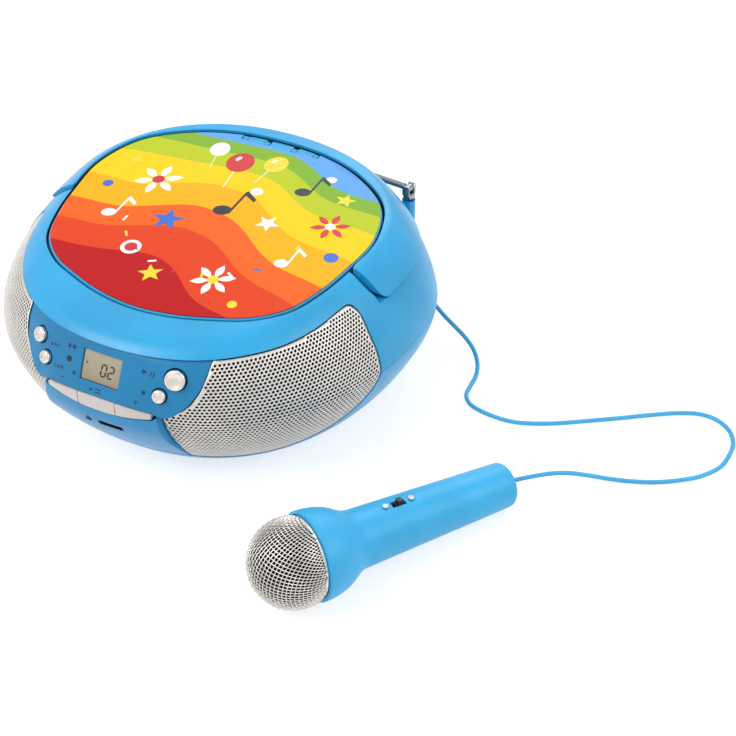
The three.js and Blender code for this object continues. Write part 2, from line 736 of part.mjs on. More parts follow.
const jackPlace = jackFrame();

function upperShell() {
  const outer = bodyAt(0);
  const body = outer.subtract(bodyAt(wall));
  const ring = lidPrism(lid.gap + gutter.wall, ringBottomZ, lidTopZ).intersect(underLidRing)
    .subtract(lidPrism(-seat.inner, 0, lidTopZ));
  const lining = outer.subtract(bodyAt(inward.lining)).intersect(shoulderZone(wall));
  const bosses = sides.map((s) => pivotDisc(handle.pocket + wall, s, handle.pocketX - handle.bossWall,
    bodyHalfWidth));
  const postWall = rodUp(post.x, post.y, post.bottomZ, post.topZ, post.radius, sidesOf.large);
  const postRoot = block(post.x - post.radius, post.x, post.y - post.rootDepth, post.y, post.bottomZ,
    post.topZ - post.rootDrop);
  let shell = unite([body, lining, ring.intersect(outer), ...bosses.map((b) => b.intersect(outer))]);
  shell = unite([shell, postWall, postRoot]).intersect(aboveWaist);
  const seatRing = lidPrism(-seat.outer, ringBottomZ, lidTopZ).intersect(underLidRing)
    .subtract(lidPrism(-seat.inner, 0, lidTopZ)).subtract(overCrown(lid.edge + gap));
  const gutterCut = lidPrism(lid.gap, ringBottomZ, far).intersect(overCrown(gutter.depth));
  const rearGutter = block(-lidHinge.barrel[1] * 2, lidHinge.barrel[1] * 2,
    lid.y + lidHinge.y - lidHinge.reach,
    lid.y + lid.halfLength + lid.gap, ringBottomZ, far).intersect(overCrown(gutter.rearDepth));
  const recess = bodyAt(-overrun).subtract(bodyAt(inward.depth)).intersect(shoulderZone(0))
    .subtract(lidPrism(handle.lidWall, 0, far));
  const pockets = sides.map((s) => pivotDisc(handle.pocket, s, handle.pocketX, bodyHalfWidth + overrun));
  shell = cut(shell, [gutterCut, recess, ...pockets, lidPrism(-seat.inner, 0, far), openWindow]);
  shell = shell.add(seatRing.intersect(outer));
  const rearClear = rearGutter.intersect(lidPrism(lid.gap, 0, far));
  shell = shell.subtract(rearClear);
  const ears = hingeEars();
  const pinHoles = [
    ...sides.map((s) => pivotDisc(handle.pin + running, s, handle.pinFrom - gap, handle.pinTo)),
    rodUp(post.x, post.y, post.topZ - swivel.stemSink - gap, far, swivel.stem + running, sidesOf.medium),
  ];
  return cut(shell.add(ears), [...pinHoles, ...screwPosts(screw.boss + gap, waistZ - overrun, waistZ)]);
}

// The ears that hold the lid's hinge pins, in the part's frame.
function lidFrame() {
  return new THREE.Matrix4().makeRotationX(tilt).setPosition(0, lid.y, crownZ);
}

function hingeEars() {
  const parts = [];
  for (const s of sides) {
    const [a, b] = lidHinge.barrel;
    for (const [x0, x1] of [[a - gap - lidHinge.ear, a - gap], [b + gap, b + gap + lidHinge.ear]]) {
      const [l, r] = s > 0 ? [x0, x1] : [-x1, -x0];
      const foot = block(l, r, lidHinge.y - lidHinge.radius, lidHinge.y + lidHinge.radius,
        -gutter.rearDepth - wall, -lidHinge.drop);
      const eye = rodAcross(l, r, lidHinge.y, -lidHinge.drop, lidHinge.radius);
      const hole = rodAcross(l - overrun, r + overrun, lidHinge.y, -lidHinge.drop, lidHinge.pin + running,
        sidesOf.pin);
      parts.push(foot.add(eye).subtract(hole));
    }
  }
  return place(unite(parts), lidFrame());
}

function screwPosts(radius, z0, z1) {
  const posts = [];
  for (const { x, y } of screwPlaces) {
    for (const s of sides) posts.push(rodUp(s * x, y, z0, z1, radius, sidesOf.pin));
  }
  return posts;
}

function footPlaces() {
  const places = [];
  for (const s of sides) {
    places.push([s * foot.frontX, foot.frontY], [s * foot.rearX, foot.rearY]);
  }
  return places;
}

function lowerShell() {
  const outer = bodyAt(0);
  let shell = outer.subtract(bodyAt(wall)).intersect(belowWaist);
  const inside = bodyAt(wall / 2).intersect(belowWaist);
  const frame = block(-bay.frame, bay.frame, bay.frameFront, bay.frameRear, shellBottomZ,
    bay.frameTop).intersect(outer);
  const box = block(-bay.x - bay.wall, bay.x + bay.wall, bay.front - bay.wall, bay.rear + bay.wall,
    door.z + door.thickness, bay.top + bay.wall);
  const bosses = screwPosts(screw.boss, shellBottomZ, waistZ - overrun - gap).map((b) => b.intersect(inside));
  const padTop = block(-pad.halfWidth, pad.halfWidth, pad.front, pad.rear, shellBottomZ - pad.drop,
    shellBottomZ + wall / 2);
  const jackBoss = place(turned([[0, -jack.inside], [jack.boss, -jack.inside], [jack.boss, jack.shoulder],
    [0, jack.shoulder]]), jackPlace);
  const boardPosts = boardCorners().map(([x, y]) => rodUp(x, y, shellBottomZ + wall / 2, board.z - gap,
    board.post, sidesOf.pin));
  shell = unite([shell, frame, box, ...bosses, padTop, jackBoss, ...boardPosts]);
  const slideway = block(-door.x - gap, door.x + gap, door.front - gap, door.rear + door.travel + gap,
    0, door.z + door.thickness + gap);
  const cell = block(-bay.x, bay.x, bay.front, bay.rear, 0, bay.top);
  const feet = footPlaces().map(([x, y]) => rodUp(x, y, 0, shellBottomZ + foot.sink + gap,
    foot.radius + gap, sidesOf.medium));
  const heads = screwPosts(screw.head + gap, 0, shellBottomZ + screw.sink + screw.headLength);
  const shanks = screwPosts(screw.radius + gap, 0, screw.length + screw.sink + shellBottomZ + overrun);
  const jackHole = place(turned([[0, -jack.inside - overrun], [jack.radius + gap, -jack.inside - overrun],
    [jack.radius + gap, jack.shoulder + overrun], [0, jack.shoulder + overrun]]), jackPlace);
  const inletHole = block(inlet.x - inlet.width / 2 - gap, inlet.x + inlet.width / 2 + gap, inlet.front, far,
    inlet.z - inlet.height / 2 - gap, inlet.z + inlet.height / 2 + gap);
  return cut(shell, [slideway, cell, ...feet, ...heads, ...shanks, jackHole, inletHole, openWindow]);
}

function boardCorners() {
  const inset = board.post + board.edge;
  return sides.flatMap((s) => [[s * (board.x - inset), board.front + inset],
    [s * (board.x - inset), board.rear - inset]]);
}

// Front pieces

function panelPiece() {
  const skin = panelSkin(0).subtract(panelSkin(panel.wall));
  const glass = panelFrameAt(0, display.z);
  const opening = block(-display.width / 2, display.width / 2, -display.height / 2, display.height / 2,
    -display.hole, display.hole);
  const holes = [place(opening, glass.matrix)];
  for (const { x, z, radius } of [...roundButtons, led]) {
    const room = radius + (radius === led.radius ? gap : buttonGap);
    holes.push(place(rodUp(0, 0, -buttonSink * 2, buttonSink * 2, room), panelFrameAt(x, z).matrix));
  }
  const rims = sideRims(panelSkin(0).subtract(panelSkin(panel.rimDepth)), panelOutline, panel.rimToZ);
  const face = skin.intersect(frontPrism(panelOutline, frontFar, frontNear)).add(rims);
  return cut(face.intersect(shrunkWindow()), holes);
}

function bezelPiece() {
  const skin = noseSkin(0).subtract(noseSkin(panel.wall));
  const slot = block(usb.x - usb.slotWidth / 2, usb.x + usb.slotWidth / 2, frontFar, frontNear,
    usb.z - usb.slotHeight / 2, usb.z + usb.slotHeight / 2);
  const rims = sideRims(noseSkin(0).subtract(noseSkin(panel.rimDepth)), bezelOutline, waistZ + overrun * 4);
  return skin.intersect(frontPrism(bezelOutline, frontFar, frontNear)).add(rims).subtract(slot);
}

function keyPiece(x0, x1) {
  const bar = noseSkin(0).subtract(noseSkin(keyDepth)).intersect(frontPrism(keysOutline, frontFar,
    frontNear));
  return bar.intersect(block(x0, x1, frontFar, frontNear, 0, far));
}

function grilleAndBaffle(side) {
  const half = block(side > 0 ? 0 : -far, side > 0 ? far : 0, -far, bodyMidY, 0, far);
  const taken = [
    frontPrism(offsetOutline(panelOutline, grille.edge), frontFar, frontNear),
    frontPrism(offsetOutline(bezelOutline, grille.edge), frontFar, frontNear),
    frontPrism(offsetOutline(keysOutline, grille.edge), frontFar, frontNear),
    block(-grille.innerX, grille.innerX, -far, bodyMidY, 0, far),
    block(-front.topX, front.topX, -far, bodyMidY, front.wideZ, far),
    lidPrism(lid.gap + gutter.wall + gap, 0, far),
  ];
  const opening = shrunkWindow().intersect(half);
  const plate = cut(shellBetween(grille.recess, grille.recess + grille.thickness).intersect(opening), taken);
  const wide = taken.concat(frontPrism(offsetOutline(panelOutline, grille.baffleEdge), frontFar, frontNear));
  const skin = cut(shellBetween(baffle.depth, baffle.depth + baffle.thickness).intersect(opening), wide);
  const plug = (radius, from) => place(turned([[0, from], [radius, from],
    [radius, from + speaker.collarReach],
    [0, from + speaker.collarReach]]), speakerMatrix(side));
  const collar = plug(speaker.radius, speaker.face + gap).intersect(bodyAt(baffle.depth)).intersect(opening);
  const bore = plug(speaker.opening, speaker.face - overrun);
  return { plate, back: cut(skin.add(cut(collar, wide)), [bore]) };
}

function shrunkWindow() {
  const arc = (Math.PI / 2) * bodyHalfWidth;
  const flat = windowOutline().map(([a, h]) => [a * arc, h * crownZ]);
  return fanThrough(offsetOutline(flat, -grille.edge).map(([u, z]) => [u / arc, z / crownZ]));
}

// The frame of a loudspeaker: its axis runs from the middle of the body outwards.
function speakerMatrix(side) {
  const angle = THREE.MathUtils.degToRad(speaker.bearing_deg);
  const outward = new THREE.Vector3(side * Math.sin(angle), -Math.cos(angle), 0);
  const group = new THREE.Group();
  group.position.set(0, bodyMidY, speaker.z);
  group.quaternion.setFromUnitVectors(new THREE.Vector3(0, 0, 1), outward);
  group.updateMatrix();
  return group.matrix.clone();
}

function speakerPieces(side) {
  const { face, radius, opening, flange, basket, magnet, magnetLength } = speaker;
  const { cone, coneThickness, coneRise, coneCap, step } = speaker;
  const back = face - flange;
  const frameProfile = [
    [0, back - basket - magnetLength], [magnet, back - basket - magnetLength], [magnet, back - basket],
    [radius - step, back], [radius, back], [radius, face], [opening, face], [opening, back],
    [magnet - wall, back - basket + wall], [0, back - basket + wall],
  ];
  const coneProfile = [
    [0, back - basket + coneRise], [magnet / 2, back - basket + coneRise], [cone, face - coneThickness],
    [opening - gap, face - coneThickness], [opening - gap, face], [cone, face],
    [magnet / 2, back - basket + coneRise + coneThickness],
    [0, back - basket + coneRise + coneThickness + coneCap],
  ];
  return { frame: turned(frameProfile), cone: turned(coneProfile) };
}

// Build the body and its front.

add('upper_shell', upperShell(), material(colours.blue));
add('lower_shell', lowerShell(), material(colours.blue));
add('control_panel', panelPiece(), material(colours.deepBlue));
add('front_bezel', bezelPiece(), material(colours.blue));

const keySplit = seamGap / 2;
add('key_left', keyPiece(-far, -keySplitX - keySplit), material(colours.pearl, 0.35));
add('key_middle', keyPiece(-keySplitX + keySplit, keySplitX - keySplit), material(colours.pearl, 0.35));
add('key_right', keyPiece(keySplitX + keySplit, far), material(colours.pearl, 0.35));

for (const side of sides) {
  const word = side > 0 ? 'right' : 'left';
  const { plate, back } = grilleAndBaffle(side);
  add(`${word}_grille`, plate, material(colours.silver, 0.4, 0.5));
  add(`${word}_baffle`, back, material(colours.black));
  const { frame, cone } = speakerPieces(side);
  const matrix = speakerMatrix(side);
  add(`${word}_speaker_frame`, place(frame, matrix), material(colours.steel, 0.4, 0.8));
  add(`${word}_speaker_cone`, place(cone, matrix), material(colours.paper, 0.9));
}

for (const { name, x, z, radius } of roundButtons) {
  const { group } = panelFrameAt(x, z);
  const cap = [[0, -buttonSink], [radius, -buttonSink], [radius, buttonRim],
    [radius * buttonTop_share, buttonProud],
    [0, buttonProud]];
  add(name, turned(cap, sidesOf.medium), material(colours.chrome, 0.25, 0.9), group);
  root.add(group);
}

const ledPlace = panelFrameAt(led.x, led.z).group;
add('stereo_led', turned([[0, -led.length], [led.radius, -led.length], [led.radius, 0], [0, 0]],
  sidesOf.pin), material(colours.black, 0.2), ledPlace);
root.add(ledPlace);

const displayPlace = panelFrameAt(0, display.z).group;
const half = { x: display.width / 2 - gap, y: display.height / 2 - gap };
const glassTop = -display.glass;
add('display_window', block(-half.x, half.x, -half.y, half.y, glassTop - display.glass, glassTop),
  material(colours.glass, 0.1), displayPlace);
const moduleTop = -panel.wall - display.glass;
add('display_module', block(-half.x - display.border, half.x + display.border, -half.y - display.border,
  half.y + display.border,
  moduleTop - display.module, moduleTop), material(colours.glass, 0.3), displayPlace);
root.add(displayPlace);

const usbFront = usb.frontY;
const usbBlock = block(usb.x - usb.width / 2, usb.x + usb.width / 2, usbFront, usbFront + usb.depth,
  usb.z - usb.height / 2, usb.z + usb.height / 2);
const usbPort = block(usb.x - usb.slotWidth / 2 + gap, usb.x + usb.slotWidth / 2 - gap, usbFront - overrun,
  usbFront + usb.port,
  usb.z - usb.slotHeight / 2, usb.z + usb.slotHeight / 2);
add('usb_socket', usbBlock.subtract(usbPort), material(colours.steel, 0.3, 0.8));

// Lid, in a group that has the tilt of the crown.

const lidGroup = new THREE.Group();
lidGroup.position.set(0, lid.y, crownZ);
lidGroup.rotation.x = tilt;
root.add(lidGroup);

function domeHeight(scale) {
  return lid.dome * (1 - scale * scale);
}

function lidRing(outward, z, scale = 1) {
  return lidOutline(outward, scale).map(([x, y]) => [x, y, z]);
}

function lidTopRings(lift, inset) {
  const scales = [...lid.shares].reverse();
  return [lidRing(-inset, lift), ...scales.map((s) => lidRing(-inset, lift + domeHeight(s), s)),
    [[0, 0, lift + lid.dome]]];
}

function lidPiece() {
  const under = lid.shares.map((s) => lidRing(-lid.rim, domeHeight(s) - lid.skin, s));
  const plate = ringSkin([
    [[0, 0, lid.dome - lid.skin]], ...under, lidRing(-lid.rim,
      -lid.skin), lidRing(-lid.rim + lid.edgeRound, -lid.edge),
    lidRing(0, -lid.edge), lidRing(0, -lid.edgeRound), ...lidTopRings(0, lid.edgeRound),
  ]);
  const notches = [];
  const barrels = [];
  const [a, b] = lidHinge.barrel;
  for (const s of sides) {
    const span = (x0, x1) => (s > 0 ? [x0, x1] : [-x1, -x0]);
    const ear = lidHinge.ear + lidHinge.room;
    for (const [x0, x1] of [span(a - ear, a), span(b, b + ear)]) {
      notches.push(block(x0, x1, lidHinge.y - lidHinge.radius - lidHinge.room, far, -far, lid.dome));
    }
    barrels.push(rodAcross(...span(a, b), lidHinge.y, -lidHinge.drop, lidHinge.radius));
  }
  const bore = rodAcross(-b - overrun, b + overrun, lidHinge.y, -lidHinge.drop, lidHinge.pin + running,
    sidesOf.pin);
  const hook = block(-lidHook.width / 2, lidHook.width / 2, lidHook.y, lidHook.y + lidHook.thickness,
    -lidHook.bottom, -lid.edge / 2);
  return unite([cut(plate, notches), ...barrels, hook]).subtract(bore);
}

add('lid', lidPiece(), material(colours.blue), lidGroup);

const labelLift = gap;
const labelPiece = ringSkin([
  [[0, 0, labelLift + lid.dome]], ...lidTopRings(labelLift, label.inset + lid.edgeRound).slice(0,
    -1).reverse(),
  ...lidTopRings(labelLift + label.thickness, label.inset + lid.edgeRound),
]);
const notchHalf = lidHinge.barrel[1] + lidHinge.ear + label.notch;
const labelNotch = block(-notchHalf, notchHalf, lidHinge.y - lidHinge.radius - label.notch, far, -far, far);
add('lid_label', labelPiece.subtract(labelNotch), material(colours.label, 0.35), lidGroup);

const lidPinEnd = lidHinge.barrel[1] + lidHinge.ear - gap;
const lidPin = rodAcross(-lidPinEnd, lidPinEnd, lidHinge.y, -lidHinge.drop, lidHinge.pin, sidesOf.pin);
add('lid_hinge_pin', lidPin, material(colours.steel, 0.3, 0.9), lidGroup);

// Handle

function sideOutline(points, x0, x1) {
  const shape = new THREE.Shape(points.map(([y, z]) => new THREE.Vector2(y, z)));
  const solid = new THREE.ExtrudeGeometry(shape, { depth: x1 - x0, bevelEnabled: false });
  return solidOf(solid.applyMatrix4(new THREE.Matrix4().makeBasis(
    new THREE.Vector3(0, 1, 0), new THREE.Vector3(0, 0, 1), new THREE.Vector3(1, 0, 0),
  )).translate(x0, 0, 0));
}

function handlePiece() {
  const corner = [];
  for (let i = 0; i <= handle.cornerSteps; i += 1) {
    const a = Math.PI + (i / handle.cornerSteps) * (Math.PI / 2);
    const y = handle.frontY + handle.corner * (1 + Math.cos(a));
    const z = handle.lowZ + handle.corner * (1 + Math.sin(a));
    corner.push([y, z]);
  }
  const side = [...corner, [far, handle.lowZ], [far, far], [handle.frontY, far]];
  const band = bodyAt(-handle.proud).subtract(bodyAt(handle.depth - gap))
    .intersect(sideOutline(side, -far, far));
  const pins = sides.map((s) => pivotDisc(handle.pin, s, handle.pinFrom, handle.pinTo));
  const clear = handle.pocketX + gap;
  const innerTrim = block(-clear, clear, -far, handle.pivotY + handle.pocket, 0, far);
  return unite([cut(band, [lidPrism(lid.gap, 0, far), innerTrim]), ...pins]);
}

add('carry_handle', handlePiece(), material(colours.blue));

// Disc well and drive

const deckTop = well.deckZ;
const deckBottom = well.deckZ - well.deck;
const floorBottom = well.floorZ - well.wall;
const postBottom = chassis.z + chassis.thickness + gap;
const postPlaces = sides.flatMap((s) => [[s * (chassis.halfWidth - chassis.post),
  discY + chassis.front + chassis.post],
  [s * (chassis.halfWidth - chassis.post), discY + chassis.rear - chassis.post]]);

function wellPiece() {
  const plate = lidPrism(-well.margin, deckBottom, deckTop);
  const cup = rodUp(0, discY, floorBottom, deckTop, well.radius + well.wall, sidesOf.well);
  const posts = postPlaces.map(([x, y]) => rodUp(x, y, postBottom, deckTop - overrun / 2, chassis.post,
    sidesOf.pin));
  const room = rodUp(0, discY, well.floorZ, far, well.radius, sidesOf.well);
  const hub = rodUp(0, discY, 0, far, well.hub, sidesOf.large);
  const slot = block(-laser.slotHalf, laser.slotHalf, discY - laser.far - laser.past,
    discY - well.hub + overrun, 0, well.floorZ + overrun / 2);
  const half = lidHook.width / 2 + lidHook.sideRoom;
  const hookSlot = place(block(-half, half, lidHook.y - lidHook.slot,
    lidHook.y + lidHook.thickness + lidHook.slot / 2,
    -far, 0), lidFrame());
  const body = cut(cut(plate.add(cup), [room]).add(unite(posts).subtract(room)), [hub, slot, hookSlot]);
  return body.add(hookCatch());
}

// The catch under the deck that the lid's hook drops into.
function hookCatch() {
  const hookY = lid.y + lidHook.y + lidHook.thickness / 2;
  const [low, high] = [deckBottom - lidHook.catch, deckBottom + well.deck / 2];
  const box = block(-lidHook.width, lidHook.width, hookY - lidHook.before - lidHook.clip,
    hookY + lidHook.behind + lidHook.clip, low, high);
  const half = lidHook.width / 2 + lidHook.sideRoom;
  const room = block(-half, half, hookY - lidHook.before, hookY + lidHook.behind, low + lidHook.clip, far);
  return box.subtract(room);
}

add('disc_well', wellPiece(), material(colours.black, 0.5));

const chassisPlate = block(-chassis.halfWidth, chassis.halfWidth, discY + chassis.front,
  discY + chassis.rear, chassis.z, chassis.z + chassis.thickness);
const windowFront = discY - laser.far - sled.halfLength + laser.past;
const chassisWindow = block(-chassis.window, chassis.window, windowFront,
  discY - motor.radius - motor.room, 0, far);
const rodMounts = sides.flatMap((s) => [[rod.front, s], [rod.rear, s]]).map(([y, s]) => (
  block(s * rod.x - rod.mount, s * rod.x + rod.mount, discY + y - rod.mountHalf, discY + y + rod.mountHalf,
    rod.z - rod.mountDrop, chassis.z + chassis.thickness / 2)
));
const rodHoles = sides.map((s) => rodBack(s * rod.x, discY + rod.front - rod.mount,
  discY + rod.rear + rod.mount, rod.z,
  rod.radius + running, sidesOf.small));
const shaftHole = rodUp(0, discY, 0, far, motor.shaft + gap, sidesOf.small);
add('drive_chassis', cut(unite([chassisPlate.subtract(chassisWindow), ...rodMounts]),
  [...rodHoles, shaftHole]), material(colours.steel, 0.4, 0.7));

const rodEnd = discY + rod.rear + rod.bend;
const rodStart = discY + rod.front - rod.mountHalf;
const rods = sides.map((s) => rodBack(s * rod.x, rodStart, rodEnd, rod.z, rod.radius, sidesOf.pin));
rods.push(rodAcross(-rod.x, rod.x, rodEnd, rod.z, rod.radius, sidesOf.pin));
add('guide_rods', unite(rods), material(colours.chrome, 0.2, 1));

const motorTop = chassis.z - gap;
const shaftTop = chassis.z + chassis.thickness + motor.shaftOut;
add('spindle_motor', unite([rodUp(0, discY, motorTop - motor.height, motorTop, motor.radius),
  rodUp(0, discY, motorTop - motor.shaftIn, shaftTop, motor.shaft,
    sidesOf.pin)]), material(colours.steel, 0.3, 0.8));

const platterBottom = well.floorZ + platter.lift;
const platterTop = platterBottom + platter.thickness;
const bossBottom = chassis.z + chassis.thickness + gap;
const platterProfile = [
  [0, shaftTop + gap], [motor.shaft + running, shaftTop + gap], [motor.shaft + running, bossBottom],
  [platter.boss, bossBottom], [platter.boss, platterBottom], [platter.radius,
    platterBottom], [platter.radius, platterTop],
  [platter.hubRadius, platterTop], [platter.hubRadius - platter.hubTaper, platterTop + platter.hubHeight],
  [0, platterTop + platter.hubHeight],
];
const platterGroup = new THREE.Group();
platterGroup.position.set(0, discY, 0);
add('turntable', turned(platterProfile, sidesOf.mic), material(colours.black, 0.4), platterGroup);
root.add(platterGroup);

// A gear blank with square-cut teeth, and the rack that it drives.

function gearShape(teeth, pitch) {
  const points = [];
  const pitchRadius = (teeth * pitch) / 2;
  const step = (2 * Math.PI) / teeth;
  const half = step / 4 - rack.backlash / (2 * pitchRadius);
  for (let i = 0; i < teeth; i += 1) {
    const a = i * step;
    const at = (radius, angle) => points.push([radius * Math.cos(angle), radius * Math.sin(angle)]);
    at(pitchRadius - tooth.root * pitch, a - half * tooth.rootShare);
    at(pitchRadius + tooth.tip * pitch, a - half * tooth.tipShare);
    at(pitchRadius + tooth.tip * pitch, a + half * tooth.tipShare);
    at(pitchRadius - tooth.root * pitch, a + half * tooth.rootShare);
  }
  return points;
}

function rackShape(module, count) {
  const pitch = Math.PI * module;
  const points = [[-rack.body, -(count / 2) * pitch]];
  const half = pitch / 4 - rack.backlash / 2;
  points.push([0, -(count / 2) * pitch]);
  for (let i = 0; i < count; i += 1) {
    const y = (i + (1 - count) / 2) * pitch;
    const [tip, root] = [half * tooth.tipShare, half * tooth.rootShare];
    points.push([0, y - root], [rack.height * module, y - tip], [rack.height * module, y + tip],
      [0, y + root]);
  }
  points.push([0, (count / 2) * pitch], [-rack.body, (count / 2) * pitch]);
  return points;
}

const sledY = discY - laser.near - sled.forward;
const rackX = sled.halfWidth + rack.body - gap;
const pinionRadius = (rack.teeth * rack.module) / 2;
const pinionX = rackX + tooth.root * rack.module + pinionRadius;
const pinionY = sledY - pinion.back;

function sledPiece() {
  const base = block(-sled.halfWidth, sled.halfWidth, sledY - sled.halfLength, sledY + sled.halfLength,
    sled.bottom, sled.top);
  const tower = block(-sled.tower, sled.tower, sledY - sled.halfLength + sled.towerBack,
    sledY + sled.halfLength - sled.towerBack, sled.top - gap, sled.towerTop);
  const lens = rodUp(0, sledY, sled.towerTop - gap, sled.lensTop, sled.lens);
  const bores = sides.map((s) => rodBack(s * rod.x, discY + rod.front, discY + rod.rear, rod.z,
    rod.radius + running,
    sidesOf.small));
  const teeth = prism(rackShape(rack.module,
    rack.count).map(([x, y]) => [x + rackX, y + sledY - rack.offset]), rack.z, rack.z + rack.thickness);
  return cut(unite([base, tower, lens, teeth]), bores);
}

add('laser_sled', sledPiece(), material(colours.black, 0.4));

const pinionGroup = new THREE.Group();
pinionGroup.position.set(pinionX, pinionY, 0);
const pinionTurn = Math.PI + (pinionY - sledY + rack.offset) / pinionRadius;
const pinionSolid = prism(gearShape(rack.teeth, rack.module), rack.z, rack.z + rack.thickness)
  .subtract(rodUp(0, 0, 0, far, pinion.bore, sidesOf.pin));
pinionGroup.rotation.z = pinionTurn;
add('sled_pinion', pinionSolid, material(colours.pearl, 0.5), pinionGroup);
root.add(pinionGroup);

const driveTop = rack.z - sledDrive.gap;
const driveParts = [
  rodUp(pinionX, pinionY, rack.z - sledDrive.below, driveTop, sledDrive.radius),
  rodUp(pinionX, pinionY, driveTop - sledDrive.shaftIn, rack.z + rack.thickness, pinion.shaft, sidesOf.pin),
  block(pinionX - sledDrive.armHalf, pinionX + sledDrive.armHalf, pinionY - sledDrive.armFar,
    pinionY - sledDrive.armNear, rack.z - sledDrive.armBelow, chassis.z - gap),
  block(pinionX - sledDrive.footHalf, pinionX + sledDrive.footHalf, pinionY - sledDrive.armFar,
    pinionY - sledDrive.footNear, rack.z - sledDrive.footLow, rack.z - sledDrive.footHigh),
];
add('sled_motor', unite(driveParts), material(colours.steel, 0.3, 0.8));

// Underside pieces

const ridgeBlocks = [];
for (let i = 0; i < door.ridges; i += 1) {
  const y = door.rear - door.ridgeBack - i * door.pitch;
  ridgeBlocks.push(block(-door.ridgeHalf, door.ridgeHalf, y - door.ridgeWidth / 2, y + door.ridgeWidth / 2,
    door.z - door.ridge, door.z + door.sink));
}
const tongueFront = bay.front + door.tongueFront;
const tongue = block(-bay.x + door.tongueIn, bay.x - door.tongueIn, tongueFront,
  tongueFront + door.tongueThickness,
  door.z, door.z + door.thickness + door.tongueHeight);
add('battery_door', unite([block(-door.x, door.x, door.front, door.rear, door.z, door.z + door.thickness),
  ...ridgeBlocks, tongue]), material(colours.blue));

const contactX = bay.x - gap;
const contactPlates = sides.map((s) => {
  const [x0, x1] = s > 0 ? [contactX - contact.thickness, contactX] : [-contactX,
    contact.thickness - contactX];
  return block(x0, x1, bay.front + contact.inset, bay.rear - contact.inset, contact.low, contact.high);
});
contactPlates.push(block(-contactX, contactX, bay.front + contact.inset,
  bay.front + contact.inset + contact.strap,
  contact.high - contact.thickness, contact.high));
add('battery_contacts', unite(contactPlates), material(colours.steel, 0.3, 0.9));

for (const [x, y] of footPlaces()) {
  const name = `foot_${y < 0 ? 'front' : 'rear'}_${x < 0 ? 'left' : 'right'}`;
  add(name, rodUp(x, y, 0, foot.height, foot.radius, sidesOf.medium), material(colours.black, 0.9));
}

const screwStart = shellBottomZ + screw.sink;
const screwHeads = screwPosts(screw.head, screwStart, screwStart + screw.headLength - gap);
const screwShanks = screwPosts(screw.radius, screwStart, screwStart + screw.length);
['left', 'right'].forEach((word, i) => {
  add(`shell_screw_${word}`, screwHeads[i].add(screwShanks[i]), material(colours.steel, 0.3, 0.9));
});

const boardSlab = block(-board.x, board.x, board.front, board.rear, board.z, board.z + board.thickness);
const chips = boardChips.map(({ x, y, width, length }) => (
  block(x, x + width, y, y + length, board.z + board.thickness / 2, board.z + board.thickness + board.chip)
));
add('main_board', unite([boardSlab, ...chips]), material(colours.green, 0.5));

const coreTop = transformer.z + transformer.height;
const core = block(transformer.x - transformer.width / 2, transformer.x + transformer.width / 2,
  transformer.y - transformer.length / 2,
  transformer.y + transformer.length / 2, transformer.z, coreTop);
add('transformer', core, material(colours.copper, 0.5, 0.4));

const inletBody = block(inlet.x - inlet.width / 2, inlet.x + inlet.width / 2, inlet.front - inlet.inside,
  inlet.rear,
  inlet.z - inlet.height / 2, inlet.z + inlet.height / 2);
const inletMouth = block(inlet.x - inlet.width / 2 + inlet.rim, inlet.x + inlet.width / 2 - inlet.rim,
  inlet.rear - inlet.mouth, far,
  inlet.z - inlet.height / 2 + inlet.rim, inlet.z + inlet.height / 2 - inlet.rim);
const inletPins = sides.map((s) => rodBack(inlet.x + s * inlet.pinX, inlet.rear - inlet.mouth - inlet.pinIn,
  inlet.rear - inlet.pinIn, inlet.z, inlet.pin, sidesOf.pin));
add('power_inlet', unite([inletBody.subtract(inletMouth), ...inletPins]), material(colours.black));

// Jack and plug

const jackGroup = new THREE.Group();
jackGroup.applyMatrix4(jackPlace);
root.add(jackGroup);
add('mic_jack', turned([
  [0, -jack.back], [jack.radius, -jack.back], [jack.radius, jack.shoulder], [jack.bore, jack.shoulder],
  [jack.bore, -plug.pinLength], [0, -plug.pinLength],
], sidesOf.medium), material(colours.black, 0.3), jackGroup);

const plugStart = jack.shoulder + gap;
const armAt = plugStart + plug.length - plug.armBack;
const armSolid = rodAcross(0, plug.armLength, 0, armAt, plug.arm, sidesOf.small);
const plugBody = turned([
  [0, -plug.pinLength + gap], [plug.pin, -plug.pinLength + gap], [plug.pin, plugStart], [plug.radius,
    plugStart],
  [plug.radius, plugStart + plug.length - plug.edge], [plug.radius - plug.edge, plugStart + plug.length],
  [0, plugStart + plug.length],
], sidesOf.medium);
add('mic_plug', plugBody.add(armSolid), material(colours.black, 0.4), jackGroup);

// Antenna

const swivelGroup = new THREE.Group();
swivelGroup.position.set(post.x, post.y, post.topZ + gap);
swivelGroup.rotation.z = THREE.MathUtils.degToRad(mast.turn_deg);
root.add(swivelGroup);
const forkHalf = swivel.fork + swivel.forkWall;
const forkTop = mastAxisLift + swivel.radius;
const cheeks = sides.map((s) => {
  const [y0, y1] = s > 0 ? [swivel.fork, forkHalf] : [-forkHalf, -swivel.fork];
  return block(-swivel.radius, swivel.radius, y0, y1, swivel.forkFoot, forkTop);
});
const stem = turned([[0, -swivel.stemSink], [swivel.stem, -swivel.stemSink], [swivel.stem, 0],
  [swivel.flange, 0],
  [swivel.flange, swivel.flangeTop - swivel.flangeEdge], [swivel.flange - swivel.flangeEdge,
    swivel.flangeTop],
  [0, swivel.flangeTop]], sidesOf.medium);
const forkPin = rodBack(0, -forkHalf, forkHalf, mastAxisLift, swivel.pin, sidesOf.pin);
add('antenna_swivel', unite([stem, ...cheeks, forkPin]), material(colours.chrome, 0.15, 1), swivelGroup);

